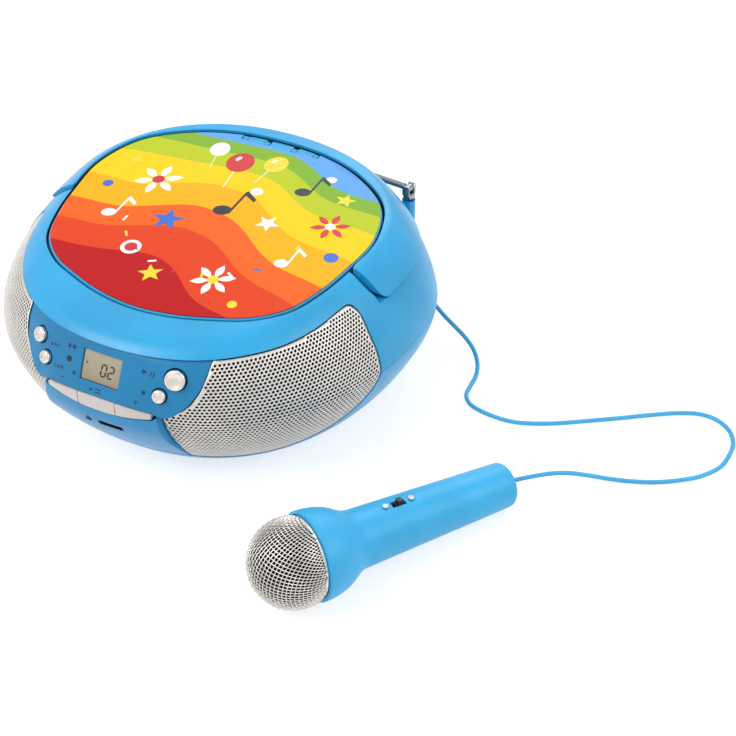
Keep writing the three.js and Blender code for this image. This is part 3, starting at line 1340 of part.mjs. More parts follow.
const mastGroup = new THREE.Group();
mastGroup.position.set(0, 0, mastAxisLift);
mastGroup.rotation.y = THREE.MathUtils.degToRad(mast.drop_deg);
swivelGroup.add(mastGroup);

// The tubes run along +X of the mast's group, each inside the one before.
function along(profile, sidesRound) {
  const points = profile.map(([r, x]) => new THREE.Vector2(r, x));
  return solidOf(new THREE.LatheGeometry(points, sidesRound).rotateZ(-Math.PI / 2));
}

for (let i = 0; i < mast.radii.length; i += 1) {
  const radius = mast.radii[i];
  const end = mast.length + i * mast.step;
  const inner = i + 1 < mast.radii.length ? mast.radii[i + 1] + mast.play : 0;
  const start = i === 0 ? mast.back : mast.back + mast.innerStart + i * mast.innerStep;
  const bore = [[radius, end], [inner, end], [inner, start + mast.floor], [0, start + mast.floor]];
  const knobFrom = end + mast.tipNeck;
  const knobTo = end + mast.tipLength;
  const knob = [[radius, knobFrom], [mast.tip, knobFrom], [mast.tip, knobTo], [0, knobTo + mast.tipCrown]];
  let tube = along([[0, start], [radius, start], ...(inner > 0 ? bore : knob)], sidesOf.small);
  if (i === 0) {
    const eye = rodBack(0, -swivel.fork + gap, swivel.fork - gap, 0, swivel.eye);
    const web = block(0, mast.back + mast.webIn, -mast.web, mast.web, -mast.webHeight, mast.webHeight);
    tube = unite([tube, web, eye]).subtract(rodBack(0, -far, far, 0, swivel.pin + running, sidesOf.pin));
  }
  add(i + 1 < mast.radii.length ? `antenna_tube_${i + 1}` : 'antenna_tip_rod', tube,
    material(colours.chrome, 0.12, 1), mastGroup);
}

// Microphone: its group's Z axis runs from the tail to the head, a little uphill.

const lean = Math.asin((mic.collar - mic.tail) / (mic.collarAt - mic.tailRound));
const bearing = THREE.MathUtils.degToRad(mic.bearing_deg);
const micAxis = new THREE.Vector3(-Math.cos(bearing) * Math.cos(lean), -Math.sin(bearing) * Math.cos(lean),
  Math.sin(lean));
const micSide = new THREE.Vector3(0, 0, 1).cross(micAxis).normalize();
const micUp = micAxis.clone().cross(micSide);
const tailZ = mic.floorGap + mic.tail * Math.cos(lean) - mic.tailRound * Math.sin(lean);
const micGroup = new THREE.Group();
const micMatrix = new THREE.Matrix4().makeBasis(micSide, micUp, micAxis).setPosition(mic.tailX, mic.tailY,
  tailZ);
micGroup.applyMatrix4(micMatrix);
root.add(micGroup);

function quarter(radius, centreR, centreZ, from, to, steps) {
  const points = [];
  for (let i = 0; i <= steps; i += 1) {
    const a = from + ((to - from) * i) / steps;
    points.push([centreR + radius * Math.cos(a), centreZ + radius * Math.sin(a)]);
  }
  return points;
}

const tailCorner = quarter(mic.tailRound, mic.tail - mic.tailRound, mic.tailRound, -Math.PI / 2, 0,
  sidesOf.arc);
const flare = [[mic.neck, mic.neckAt], ...mic.flare.map(([r, z]) => [mic.neck + r, mic.neckAt + z]),
  [mic.collar - mic.collarEdge[0], mic.collarAt - mic.collarEdge[1]]];
const handleOutside = [[mic.exitBore, 0], ...tailCorner, ...flare, [mic.collar, mic.collarAt],
  [mic.collar, mic.rimAt]];
const handleInside = [
  [mic.socket, mic.rimAt], [mic.socket, mic.socketAt], [mic.neck - mic.wall,
    mic.neckAt], [mic.tail - mic.wall, mic.tailRound + mic.wall],
  [mic.exitBore, mic.tailRound + mic.wall],
];
const micBody = turned([...handleOutside, ...handleInside, handleOutside[0]], sidesOf.mic);
const topRadius = (at) => mic.tail + ((mic.neck - mic.tail) * at) / mic.neckAt;
const switchTop = topRadius(micSwitch.at);
const slotCut = block(-micSwitch.slotWidth / 2, micSwitch.slotWidth / 2, switchTop - mic.wall - overrun, far,
  micSwitch.at - micSwitch.slotLength / 2, micSwitch.at + micSwitch.slotLength / 2);
const screwCuts = sides.map((s) => rodBack(0, switchTop - mic.wall - overrun, far,
  micSwitch.at + s * micScrew.spacing,
  micScrew.shank + gap, sidesOf.pin));
add('mic_body', cut(micBody, [slotCut, ...screwCuts]), material(colours.blue, 0.35), micGroup);

const seatZ = mic.ballAt - Math.sqrt(mic.ball ** 2 - mic.bandRadius ** 2);
const ballTo = Math.PI / 2;
const ballFrom = Math.asin((seatZ - mic.ballAt) / mic.ball);
const outerBall = quarter(mic.ball, 0, mic.ballAt, ballFrom, ballTo,
  sidesOf.ball).map(([r, z]) => [Math.max(0, r), z]);
const innerBall = quarter(mic.ball - mic.mesh, 0, mic.ballAt, ballFrom, ballTo, sidesOf.ball)
  .map(([r, z]) => [Math.max(0, r), z]).reverse();
outerBall[outerBall.length - 1][0] = 0;
innerBall[0][0] = 0;
const headProfile = [...outerBall.reverse(), [mic.bandRadius, mic.bandAt],
  [mic.bandRadius - mic.mesh, mic.bandAt], ...innerBall.reverse()].reverse();
add('mic_head', turned(headProfile, sidesOf.mic), material(colours.silver, 0.3, 0.8), micGroup);

const capsuleSeat = mic.socketAt + gap;
const shelf = mic.bandRadius - mic.mesh - gap;
const capsuleProfile = [[0, capsuleSeat], [shelf, capsuleSeat], [shelf, capsuleSeat + mic.capsuleShelf],
  [mic.capsule, capsuleSeat + mic.capsuleShelf], [mic.capsule, capsuleSeat + mic.capsuleLength],
  [0, capsuleSeat + mic.capsuleLength]];
add('mic_capsule', turned(capsuleProfile, sidesOf.mic), material(colours.black, 0.8), micGroup);

const sliderAt = micSwitch.at - micSwitch.back;
const sliderBase = block(-micSwitch.slotWidth / 2 + gap, micSwitch.slotWidth / 2 - gap, switchTop - mic.wall,
  switchTop - micSwitch.sink, sliderAt - micSwitch.length / 2, sliderAt + micSwitch.length / 2);
const sliderKnob = block(-micSwitch.width / 2, micSwitch.width / 2, switchTop - micSwitch.knobSink,
  switchTop + micSwitch.rise, sliderAt - micSwitch.knob / 2, sliderAt + micSwitch.knob / 2);
add('mic_switch', sliderBase.add(sliderKnob), material(colours.black), micGroup);

for (const s of sides) {
  const z = micSwitch.at + s * micScrew.spacing;
  const top = topRadius(z) + gap;
  const head = rodBack(0, top, top + micScrew.height, z, micScrew.radius, sidesOf.small);
  const shank = rodBack(0, top - micScrew.shankLength, top + gap, z, micScrew.shank, sidesOf.pin);
  add(`mic_screw_${s < 0 ? 'rear' : 'front'}`, head.add(shank), material(colours.chrome, 0.2, 1), micGroup);
}


const cordSection = new THREE.Shape();
for (let i = 0; i < cordSides; i += 1) {
  const a = ((i + 0.5) / cordSides) * 2 * Math.PI;
  const method = i === 0 ? 'moveTo' : 'lineTo';
  cordSection[method](cordRadius * Math.cos(a), cordRadius * Math.sin(a));
}
cordSection.closePath();
const tailExit = new THREE.Vector3(mic.tailX, mic.tailY, tailZ).addScaledVector(micAxis, -gap);
const tailLead = tailExit.clone().addScaledVector(micAxis, -cordLead);
const armStart = new THREE.Vector3(plug.armLength + gap, 0, armAt).applyMatrix4(jackPlace);
const armLead = new THREE.Vector3(plug.armLength + gap + cordLead, 0, armAt).applyMatrix4(jackPlace);
const onTheWay = cordPoints.map((p) => new THREE.Vector3(...p));
const route = new THREE.CatmullRomCurve3([armStart, armLead, ...onTheWay, tailLead, tailExit]);
const cordSolid = new THREE.ExtrudeGeometry(cordSection,
  { steps: cordSteps, extrudePath: route, bevelEnabled: false });
add('mic_cord', solidOf(cordSolid), material(colours.blue, 0.4));

export default root;
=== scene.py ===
"""A portable disc player with a wired microphone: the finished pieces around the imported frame.

Tables of sizes are in millimetres, as in the part's source, and every mesh is made in metres.
"""

import json
import math

import bmesh
import bpy
from mathutils import Matrix, Vector

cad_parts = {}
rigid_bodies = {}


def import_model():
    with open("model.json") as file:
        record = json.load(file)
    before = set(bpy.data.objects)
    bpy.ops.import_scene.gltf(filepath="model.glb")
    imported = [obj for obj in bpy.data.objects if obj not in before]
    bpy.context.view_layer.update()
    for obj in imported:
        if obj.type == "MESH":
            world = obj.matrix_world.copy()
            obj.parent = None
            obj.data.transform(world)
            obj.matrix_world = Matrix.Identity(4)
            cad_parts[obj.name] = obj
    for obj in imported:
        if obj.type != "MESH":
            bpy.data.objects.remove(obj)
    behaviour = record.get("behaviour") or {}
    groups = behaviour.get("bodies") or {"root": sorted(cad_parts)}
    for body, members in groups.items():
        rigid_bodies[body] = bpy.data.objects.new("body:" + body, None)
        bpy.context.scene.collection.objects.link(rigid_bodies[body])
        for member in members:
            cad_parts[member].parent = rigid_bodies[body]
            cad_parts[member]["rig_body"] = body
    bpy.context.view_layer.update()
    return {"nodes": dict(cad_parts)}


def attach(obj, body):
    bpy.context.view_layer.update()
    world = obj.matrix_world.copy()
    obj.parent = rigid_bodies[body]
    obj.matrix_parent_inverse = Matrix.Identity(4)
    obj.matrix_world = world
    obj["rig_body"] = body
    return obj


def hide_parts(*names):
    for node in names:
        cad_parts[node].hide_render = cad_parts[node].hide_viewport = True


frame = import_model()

MM = 0.001
scene = bpy.context.scene


# Camera: the photograph's viewpoint.

def set_camera():
    right = Vector((0.89493, 0.44620, 0))
    up = Vector((-0.28681, 0.57526, 0.76604))
    back = Vector((0.34180, -0.68555, 0.64279))
    data = bpy.data.cameras.new("camera")
    data.sensor_width = 36
    data.lens = 73.37
    data.clip_start = 0.05
    data.clip_end = 30
    camera = bpy.data.objects.new("camera", data)
    turn = Matrix((right, up, back)).transposed().to_4x4()
    camera.matrix_world = Matrix.Translation((0.4273, -0.63736, 0.63286)) @ turn
    scene.collection.objects.link(camera)
    scene.camera = camera


set_camera()


# Sizes of the body, repeated from the part's source.

HALF_WIDTH, FRONT_REACH, REAR_REACH, MID_Y = 136, 151.5, 98, 26
WAIST, CROWN, BOTTOM = 58, 108.6, 2.2
CROWN_IN = {"side": 37.8, "front": 25.8, "rear": 19.5}
FOOT_IN = 39.4
TILT = math.radians(3)
RING_POWER = {"front": 2.23, "rear": 2.11}
CROWN_POWER = {"side": 1.51, "front": 2.7, "rear": 1.71}
FOOT_POWER = 1.56
WALL, GAP, RUNNING, SEAM = 2.5, 0.3, 0.1, 0.5
FAR = HALF_WIDTH + FRONT_REACH
RING_SIDES = 176
CROWN_RINGS = 22
FOOT_RINGS = 18

LID = {
    "width": 100, "length": 91, "y": 6, "edge": 3, "dome": 2.2, "gap": 1.5, "rim": 5, "skin": 2.4,
    "round": 0.8,
}
LID_SHARES = [
    (0.25, -0.967), (0.47, -0.89), (0.67, -0.791), (0.83, -0.626), (0.92, -0.385), (0.975, -0.088),
    (0.998, 0.242), (0.886, 0.604), (0.62, 0.846), (0.33, 0.967),
]
LID_SIDES = 160
HINGE = {"y": 86.5, "drop": 1, "radius": 2, "pin": 0.9, "barrel": (12, 24), "ear": 3.3, "room": 0.9}
WINDOW_SHARES = [
    (0.09, 0.195), (0.18, 0.193), (0.28, 0.17), (0.377, 0.164), (0.468, 0.172), (0.56, 0.213),
    (0.65, 0.293), (0.728, 0.41), (0.764, 0.52), (0.768, 0.635), (0.762, 0.757), (0.757, 0.877),
    (0.738, 0.915), (0.688, 0.917), (0.587, 0.9), (0.482, 0.89), (0.363, 0.891), (0.29, 0.892),
    (0.18, 0.896), (0.09, 0.898),
]
HANDLE = {
    "depth": 7, "proud": 1.4, "low": 92.5, "low_gap": 1.2, "front": -0.5, "front_gap": 2.9,
    "pivot": (6, 101.5), "pocket": 10.7, "pocket_x": 99.6, "pin": 2, "pin_x": (97.6, 107), "corner": 5,
    "lid_wall": 0.6, "boss": 3.4,
}
PANEL = {"recess": 1, "width": 126, "y": -117, "z": 92.1, "lean": 0.52, "wall": 2.5, "swell": (50, 84)}
NOSE = {"proud": 4.5, "low": 20, "from": 20.3, "full": 56, "top": 76, "rings": 20}


# The cord: centre line points of the part's source, from the plug to the microphone's tail.

CORD_POINTS = [
    (101.54, 94.80, 30), (106.30, 91.85, 30),
    (110.5, 89.2, 29.4), (117.5, 85.4, 27.2), (125, 82.4, 23.8), (133.5, 80.4, 19.4), (142, 78.4, 14.6),
    (149.6, 74.8, 9.8), (155.2, 68.6, 5.4), (158.2, 60.4, 2.6), (158.8, 50, 1.5), (160, 40, 1.5),
    (165.5, 33.2, 1.5), (174, 30.2, 1.5), (186, 28.8, 1.5), (198, 30, 1.5), (211, 35, 1.5),
    (223.3, 41.7, 1.5), (239, 52, 1.5), (255.5, 63, 1.5), (272, 74.5, 1.5), (287.8, 84.4, 1.5),
    (299.5, 89, 1.5), (310, 88.6, 1.5),
    (320, 82.4, 1.5), (325.6, 72.4, 1.5), (326.6, 60, 1.5), (324.6, 47.6, 1.5), (316.6, 35, 1.5),
    (305.4, 25.2, 1.5), (293.6, 17.6, 1.5), (280, 11.6, 1.6), (268, 6.8, 2.6), (256.6, 1.4, 5.2),
    (246, -5.8, 8.8), (237, -14.4, 11.8), (220.82, -30.06, 12.96), (217.90, -34.81, 13.51),
]


def curve_through(points, closed, steps):
    """Points on a smooth curve through the given ones, steps of them between each pair."""
    given = [Vector(p) for p in points]
    count = len(given)
    out = []
    for i in range(count if closed else count - 1):
        if closed:
            a, b, c, d = (given[(i + k) % count] for k in (-1, 0, 1, 2))
        else:
            b, c = given[i], given[i + 1]
            a = given[i - 1] if i else b * 2 - c
            d = given[i + 2] if i + 2 < count else c * 2 - b
        t0, t1, t2 = (max(1e-4, math.sqrt((q - p).length)) for p, q in ((a, b), (b, c), (c, d)))
        m1 = ((b - a) / t0 - (c - a) / (t0 + t1) + (c - b) / t1) * t1
        m2 = ((c - b) / t1 - (d - b) / (t1 + t2) + (d - c) / t2) * t1
        for k in range(steps):
            t = k / steps
            square, cube = c * 3 - b * 3 - m1 * 2 - m2, b * 2 - c * 2 + m1 + m2
            out.append(b + m1 * t + square * t ** 2 + cube * t ** 3)
    if not closed:
        out.append(given[-1])
    return out


def spaced(points, count, closed):
    """The same line with count points that are evenly spaced along it."""
    line = points + [points[0]] if closed else points
    reach = [0.0]
    for a, b in zip(line, line[1:]):
        reach.append(reach[-1] + (b - a).length)
    out = []
    k = 0
    for i in range(count):
        want = reach[-1] * i / (count if closed else count - 1)
        while k + 2 < len(reach) and reach[k + 1] < want:
            k += 1
        share = (want - reach[k]) / max(1e-9, reach[k + 1] - reach[k])
        out.append(line[k].lerp(line[k + 1], min(1, share)))
    return out


# Materials

def feed(tree, made, values):
    """Sets each input of a node to its value, or links it where the value is another node's output."""
    for key, value in values.items():
        if isinstance(value, bpy.types.NodeSocket):
            tree.links.new(value, made.inputs[key])
        else:
            made.inputs[key].default_value = value


def node(tree, kind, values=None, **settings):
    made = tree.nodes.new(kind)
    for key, value in settings.items():
        setattr(made, key, value)
    feed(tree, made, values or {})
    return made


def new_material(name, roughness, metallic=0.0):
    material = bpy.data.materials.new(name)
    material.use_nodes = True
    tree = material.node_tree
    shader = tree.nodes["Principled BSDF"]
    feed(tree, shader, {"Roughness": roughness, "Metallic": metallic})
    return material, tree, shader


def linear(colour):
    """An eight-bit screen colour as the shader's linear one."""
    out = []
    for c in colour:
        s = c / 255
        out.append(s / 12.92 if s <= 0.04045 else ((s + 0.055) / 1.055) ** 2.4)
    return (*out, 1)


def object_place(tree):
    return node(tree, "ShaderNodeTexCoord").outputs["Object"]


def noise(tree, scale, detail=2.0, output="Fac"):
    made = node(tree, "ShaderNodeTexNoise", {"Scale": scale, "Detail": detail, "Vector": object_place(tree)})
    return made.outputs[output]


def map_range(tree, value, low, high, to_low=0.0, to_high=1.0):
    made = node(tree, "ShaderNodeMapRange", {"Value": value, "From Min": low, "From Max": high,
                                             "To Min": to_low, "To Max": to_high})
    return made.outputs["Result"]


def ramp(tree, share, stops, interpolation="LINEAR"):
    made = node(tree, "ShaderNodeValToRGB", {"Fac": share})
    made.color_ramp.interpolation = interpolation
    elements = made.color_ramp.elements
    while len(elements) < len(stops):
        elements.new(1)
    for stop, (position, colour) in zip(elements, stops):
        stop.position = position
        stop.color = linear(colour)
    return made.outputs["Color"]


def vary_colour(tree, shader, colour, spread, scale):
    """The base colour drifts a little over the surface, as moulded colour does."""
    low, high = ([min(255, c * (1 + s)) for c in colour] for s in (-spread, spread))
    feed(tree, shader, {"Base Color": ramp(tree, noise(tree, scale), [(0.35, low), (0.65, high)])})


def vary_gloss(tree, shader, low, high, scale):
    feed(tree, shader, {"Roughness": map_range(tree, noise(tree, scale, 3), 0.3, 0.7, low, high)})


def grain(tree, shader, scale, strength, edge=0.0):
    """A fine moulded grain, with the light catching rounded edges."""
    bump = node(tree, "ShaderNodeBump", {"Strength": strength, "Distance": 0.0001,
                                         "Height": noise(tree, scale)})
    if edge:
        soft = node(tree, "ShaderNodeBevel", {"Radius": edge * MM}, samples=6)
        feed(tree, bump, {"Normal": soft.outputs["Normal"]})
    feed(tree, shader, {"Normal": bump.outputs["Normal"]})


def plastic(name, colour, gloss, spread=0.03, grain_strength=0.12, coat=0.0, edge=0.5):
    material, tree, shader = new_material(name, gloss)
    vary_colour(tree, shader, colour, spread, 22)
    vary_gloss(tree, shader, gloss - 0.04, gloss + 0.05, 60)
    grain(tree, shader, 2600, grain_strength, edge)
    feed(tree, shader, {"Coat Weight": coat, "Coat Roughness": 0.08})
    return material


def metal(name, colour, gloss, spread=0.04, brushed=0.1, edge=0.25):
    material, tree, shader = new_material(name, gloss, 1.0)
    vary_colour(tree, shader, colour, spread, 90)
    vary_gloss(tree, shader, max(0.03, gloss - 0.05), gloss + 0.07, 300)
    grain(tree, shader, 1800, brushed, edge)
    return material


LABEL_BANDS = [
    (0, (186, 6, 12)), (0.24, (226, 66, 22)), (0.37, (244, 102, 26)), (0.47, (252, 180, 12)),
    (0.56, (252, 210, 14)), (0.655, (190, 204, 34)), (0.745, (132, 180, 50)), (0.82, (100, 170, 236)),
    (0.9, (92, 156, 234)),
]


def print_material():
    """Sweeping bands of colour, from red at the front to sky blue at the rear, in printed card."""
    material, tree, shader = new_material("printed_label", 0.5)
    shift = node(tree, "ShaderNodeMapping", {"Vector": object_place(tree), "Location": (0.035, 0.185, 0),
                                             "Scale": (0.82, 1, 0)})
    length = node(tree, "ShaderNodeVectorMath", {0: shift.outputs["Vector"]}, operation="LENGTH")
    bend = node(tree, "ShaderNodeMath", {0: noise(tree, 13, 0), 1: 0.055, 2: length.outputs["Value"]},
                operation="MULTIPLY_ADD")
    bands = ramp(tree, map_range(tree, bend.outputs["Value"], 0.1, 0.34), LABEL_BANDS, "CONSTANT")
    ink = node(tree, "ShaderNodeMix", {"Factor": 0.08, "A": bands, "B": noise(tree, 700, 2, "Color")},
               data_type="RGBA", blend_type="MULTIPLY")
    feed(tree, shader, {"Base Color": ink.outputs["Result"], "Specular IOR Level": 0.25})
    grain(tree, shader, 1500, 0.05, 0.3)
    return material


def ink_material(name, colour):
    material, tree, shader = new_material(name, 0.4)
    vary_colour(tree, shader, colour, 0.03, 400)
    grain(tree, shader, 2200, 0.06)
    return material


def display_material():
    """The grey-green face of a liquid crystal display, a little lighter towards the top."""
    material, tree, shader = new_material("display_pane", 0.16)
    split = node(tree, "ShaderNodeSeparateXYZ", {"Vector": object_place(tree)})
    share = map_range(tree, split.outputs["Z"], 0.074, 0.092)
    feed(tree, shader, {"Base Color": ramp(tree, share, [(0, (160, 142, 116)), (1, (176, 168, 146))])})
    grain(tree, shader, 5000, 0.04)
    return material


BLUE = (36, 162, 216)
look = {
    "body": plastic("body_plastic", BLUE, 0.34),
    "handle": plastic("handle_plastic", BLUE, 0.3),
    # The panel and the front lip are the body's blue darkened: painted shade for the leaning panel and the
    # low front lip.
    "panel": plastic("panel_plastic_painted_shade", (6, 122, 174), 0.36),
    "lip": plastic("lip_plastic_painted_shade", (14, 138, 194), 0.34),
    "microphone": plastic("microphone_plastic", (48, 174, 228), 0.42),
    "cord": plastic("cord_vinyl", (60, 172, 222), 0.42, edge=0),
    "pearl": plastic("pearl_plastic", (208, 201, 195), 0.28, spread=0.02, coat=0.3),
    "grille": metal("grille_steel", (208, 204, 199), 0.46, spread=0.02, brushed=0.02, edge=0),
    "mesh": metal("mesh_wire", (232, 228, 222), 0.3, spread=0.04, brushed=0.02, edge=0),
    "black": plastic("black_plastic", (24, 25, 28), 0.42, spread=0.06),
    # Black foam, also used as a strip of painted shade in the gap round the lid.
    "foam_and_shade_black": plastic("foam_and_painted_shade_black", (14, 14, 15), 0.9, spread=0.2, grain_strength=0.6, edge=0),
    "steel": metal("plain_steel", (168, 171, 176), 0.36),
    "cone": plastic("speaker_cone", (38, 38, 40), 0.85, spread=0.1, grain_strength=0.4, edge=0),
    "button": metal("button_chrome", (222, 213, 206), 0.24, spread=0.01, brushed=0.01),
    "display": display_material(),
    "chrome": metal("antenna_chrome", (150, 151, 155), 0.16, spread=0.02, brushed=0.01),
    "label": print_material(),
    "rubber": plastic("black_rubber", (26, 26, 27), 0.75, spread=0.1, grain_strength=0.5),
    "board": plastic("green_board", (38, 104, 62), 0.45, spread=0.12),
    "iron": metal("transformer_iron", (150, 112, 74), 0.5, spread=0.12),
    # Dark blue print, also used for a dot of painted shadow beside the display.
    "print": ink_material("panel_print_and_painted_shadow", (8, 48, 84)),
    "dark_print": ink_material("dark_print", (14, 22, 34)),
    "digits": ink_material("display_digits", (38, 32, 28)),
    "white_ink": ink_material("white_ink", (246, 246, 244)),
    "red_ink": ink_material("red_ink", (206, 30, 34)),
    "yellow_ink": ink_material("yellow_ink", (255, 214, 40)),
    "blue_ink": ink_material("blue_ink", (46, 104, 196)),
}


# Modelling tools: every form is made in millimetres and becomes an object in metres.

def object_in_scene(name, bm):
    mesh = bpy.data.meshes.new(name)
    bm.to_mesh(mesh)
    bm.free()
    made = bpy.data.objects.new(name, mesh)
    scene.collection.objects.link(made)
    return made


def object_of(name, bm):
    bmesh.ops.scale(bm, vec=(MM, MM, MM), verts=bm.verts)
    return object_in_scene(name, bm)


def loft(rings, name="form"):
    """A closed skin through rings with the same number of points. A ring at one point closes to a tip."""
    bm = bmesh.new()
    at = bm.verts.layers.int.new("at")
    bmesh.ops.create_circle(bm, cap_ends=True, segments=len(rings[0]), radius=1)
    for i, v in enumerate(bm.verts):
        v[at] = i
        v.co = rings[0][i]
    edges = bm.edges[:]
    for ring in rings[1:]:
        made = bmesh.ops.extrude_edge_only(bm, edges=edges)["geom"]
        edges = [g for g in made if isinstance(g, bmesh.types.BMEdge) and g.is_boundary]
        for v in (g for g in made if isinstance(g, bmesh.types.BMVert)):
            v.co = ring[v[at]]
    bmesh.ops.holes_fill(bm, edges=edges, sides=0)
    bmesh.ops.remove_doubles(bm, verts=bm.verts, dist=1e-4)
    bmesh.ops.recalc_face_normals(bm, faces=bm.faces)
    if bm.calc_volume(signed=True) < 0:
        bmesh.ops.reverse_faces(bm, faces=bm.faces)
    return object_of(name, bm)


def prism(outline, z0, z1):
    return loft([[Vector((p[0], p[1], z)) for p in outline] for z in (z0, z1)])


def front_prism(outline, y0=-FAR, y1=-HALF_WIDTH / 2):
    """A prism of an outline drawn on the front, as x and z."""
    return loft([[Vector((p[0], y, p[1])) for p in outline] for y in (y0, y1)])


def box(x0, x1, y0, y1, z0, z1):
    return prism([(x0, y0), (x1, y0), (x1, y1), (x0, y1)], z0, z1)


def turned(profile, place=None, sides=96, name="form"):
    """A solid of revolution about Z, from a profile of radius and height that starts and ends on the axis."""
    bm = bmesh.new()
    points = [bm.verts.new((r, 0, z)) for r, z in profile]
    for a, b in zip(points, points[1:]):
        bm.edges.new((a, b))
    bmesh.ops.spin(bm, geom=bm.verts[:] + bm.edges[:], cent=(0, 0, 0), axis=(0, 0, 1), angle=math.tau,
                   steps=sides, use_merge=True)
    bmesh.ops.remove_doubles(bm, verts=bm.verts, dist=1e-4)
    bmesh.ops.recalc_face_normals(bm, faces=bm.faces)
    if place:
        bmesh.ops.transform(bm, matrix=place, verts=bm.verts)
    return object_of(name, bm)


def rod(radius, z0, z1, place=None, sides=64):
    return turned([(0, z0), (radius, z0), (radius, z1), (0, z1)], place, sides)


def rod_across(x0, x1, y, z, radius):
    lay = Matrix.Translation((0, y, z)) @ Matrix.Rotation(math.pi / 2, 4, "Y")
    return rod(radius, x0, x1, lay)


def placed(made, matrix):
    """The finished form moved by a matrix in millimetres."""
    scaled = Matrix.Scale(MM, 4) @ matrix @ Matrix.Scale(1 / MM, 4)
    made.data.transform(scaled)
    return made


def combine(base, others, operation):
    for other in others:
        step = base.modifiers.new("step", "BOOLEAN")
        step.operation = operation
        step.solver = "MANIFOLD"
        step.object = other
    bpy.context.view_layer.update()
    finished = base.evaluated_get(bpy.context.evaluated_depsgraph_get())
    mesh = bpy.data.meshes.new_from_object(finished)
    base.modifiers.clear()
    base.data = mesh
    for other in others:
        bpy.data.objects.remove(other)
    return base


def cut(base, *others):
    return combine(base, others, "DIFFERENCE")


def join(base, *others):
    return combine(base, others, "UNION")


def common(base, *others):
    return combine(base, others, "INTERSECT")


def finish(made, name, body, material, nodes=(), sharp=32):
    """Names the piece, smooths it but for its sharp edges, gives it its finish and lets it ride."""
    made.name = name
    made.data.name = name
    made.data.shade_smooth()
    made.data.set_sharp_from_angle(angle=math.radians(sharp))
    kept = [face.material_index for face in made.data.polygons]
    made.data.materials.clear()
    several = isinstance(material, (list, tuple))
    for one in material if several else [material]:
        made.data.materials.append(one)
    if several:
        made.data.polygons.foreach_set("material_index", kept)
    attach(made, body)
    if nodes:
        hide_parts(*nodes)
    return made


# Body skins

def crown_at(y):
    return CROWN + math.tan(TILT) * (y - LID["y"])


def draw_in(share, power):
    return 1 - (1 - min(1, share) ** power) ** (1 / power)


def ring(side, front, rear, height):
    points = []
    for i in range(RING_SIDES):
        angle = math.tau * i / RING_SIDES
        c, s = math.cos(angle), math.sin(angle)
        power = RING_POWER["front" if s < 0 else "rear"]
        x = side * math.copysign(abs(c) ** (2 / power), c)
        y = MID_Y + (front if s < 0 else rear) * math.copysign(abs(s) ** (2 / power), s)
        points.append(Vector((x, y, height(y))))
    return points


def upper_ring(share, depth):
    side, front, rear = (
        reach - depth - CROWN_IN[word] * draw_in(share, CROWN_POWER[word])
        for reach, word in ((HALF_WIDTH, "side"), (FRONT_REACH, "front"), (REAR_REACH, "rear"))
    )
    return ring(side, front, rear, lambda y: WAIST + share * (crown_at(y) - depth - WAIST))


def lower_ring(share, depth, proud=0.0):
    inward = FOOT_IN * draw_in(share, FOOT_POWER)
    z = WAIST - share * (WAIST - BOTTOM - depth)
    side, front, rear = (reach - depth - inward for reach in (HALF_WIDTH, FRONT_REACH, REAR_REACH))
    return ring(side, front + proud, rear, lambda y: z)


def body_at(depth):
    mean = sum(CROWN_POWER.values()) / 3
    low = [lower_ring(math.sin(i / FOOT_RINGS * math.pi / 2) ** (2 / FOOT_POWER), depth)
           for i in range(FOOT_RINGS, 0, -1)]
    high = [upper_ring(math.sin(i / CROWN_RINGS * math.pi / 2) ** (2 / mean), depth)
            for i in range(CROWN_RINGS + 1)]
    return loft(low + high)


def surface_radius(bearing, z):
    """How far the body's skin is from its middle line at a bearing from the front, at a height."""
    radius = FRONT_REACH
    for _ in range(8):
        if z > WAIST:
            share = (z - WAIST) / (crown_at(MID_Y - radius * math.cos(bearing)) - WAIST)
            ahead, aside = (CROWN_IN[w] * draw_in(share, CROWN_POWER[w]) for w in ("front", "side"))
        else:
            ahead = aside = FOOT_IN * draw_in((WAIST - z) / (WAIST - BOTTOM), FOOT_POWER)
        power = RING_POWER["front"]
        across = (abs(math.sin(bearing)) / (HALF_WIDTH - aside)) ** power
        forward = (math.cos(bearing) / (FRONT_REACH - ahead)) ** power
        radius = (across + forward) ** (-1 / power)
    return radius


def skin_point(bearing, z):
    radius = surface_radius(bearing, z)
    return Vector((radius * math.sin(bearing), MID_Y - radius * math.cos(bearing), z))


def window_outline(inset=0.0):
    """The opening for the grilles and the panel, as bearing and height, drawn in by an inset."""
    half = [(0, 0.195)] + WINDOW_SHARES + [(0, 0.898)]
    whole = half + [(-a, h) for a, h in reversed(WINDOW_SHARES)]
    arc = math.pi / 2 * HALF_WIDTH
    flat = spaced(curve_through([(a * arc, h * CROWN, 0) for a, h in whole], True, 8), 200, True)
    if inset:
        flat = offset(flat, -inset)
    return [(p.x / HALF_WIDTH, p.y) for p in flat]


def offset(points, distance):
    """A closed outline pushed outwards. It runs anticlockwise."""
    out = []
    for i, p in enumerate(points):
        before = (p - points[i - 1]).normalized()
        after = (points[(i + 1) % len(points)] - p).normalized()
        normal = Vector((before.y + after.y, -before.x - after.x, 0)).normalized()
        stretch = max(0.5, normal.x * before.y - normal.y * before.x)
        out.append(p + normal * (distance / stretch))
    return out


def fan_through(outline):
    """A wide fan from one point inside the body, through an outline on its front."""
    middle = Vector((0, MID_Y, 60))
    far = [middle + (skin_point(a, z) - middle) * 4 for a, z in outline]
    return loft([far, [middle] * len(far)])


LID_FRAME = Matrix.Translation((0, LID["y"], CROWN)) @ Matrix.Rotation(TILT, 4, "X")


def over_crown(drop):
    top = box(-2 * FAR, 2 * FAR, -2 * FAR, 2 * FAR, -drop, FAR)
    return placed(top, LID_FRAME)


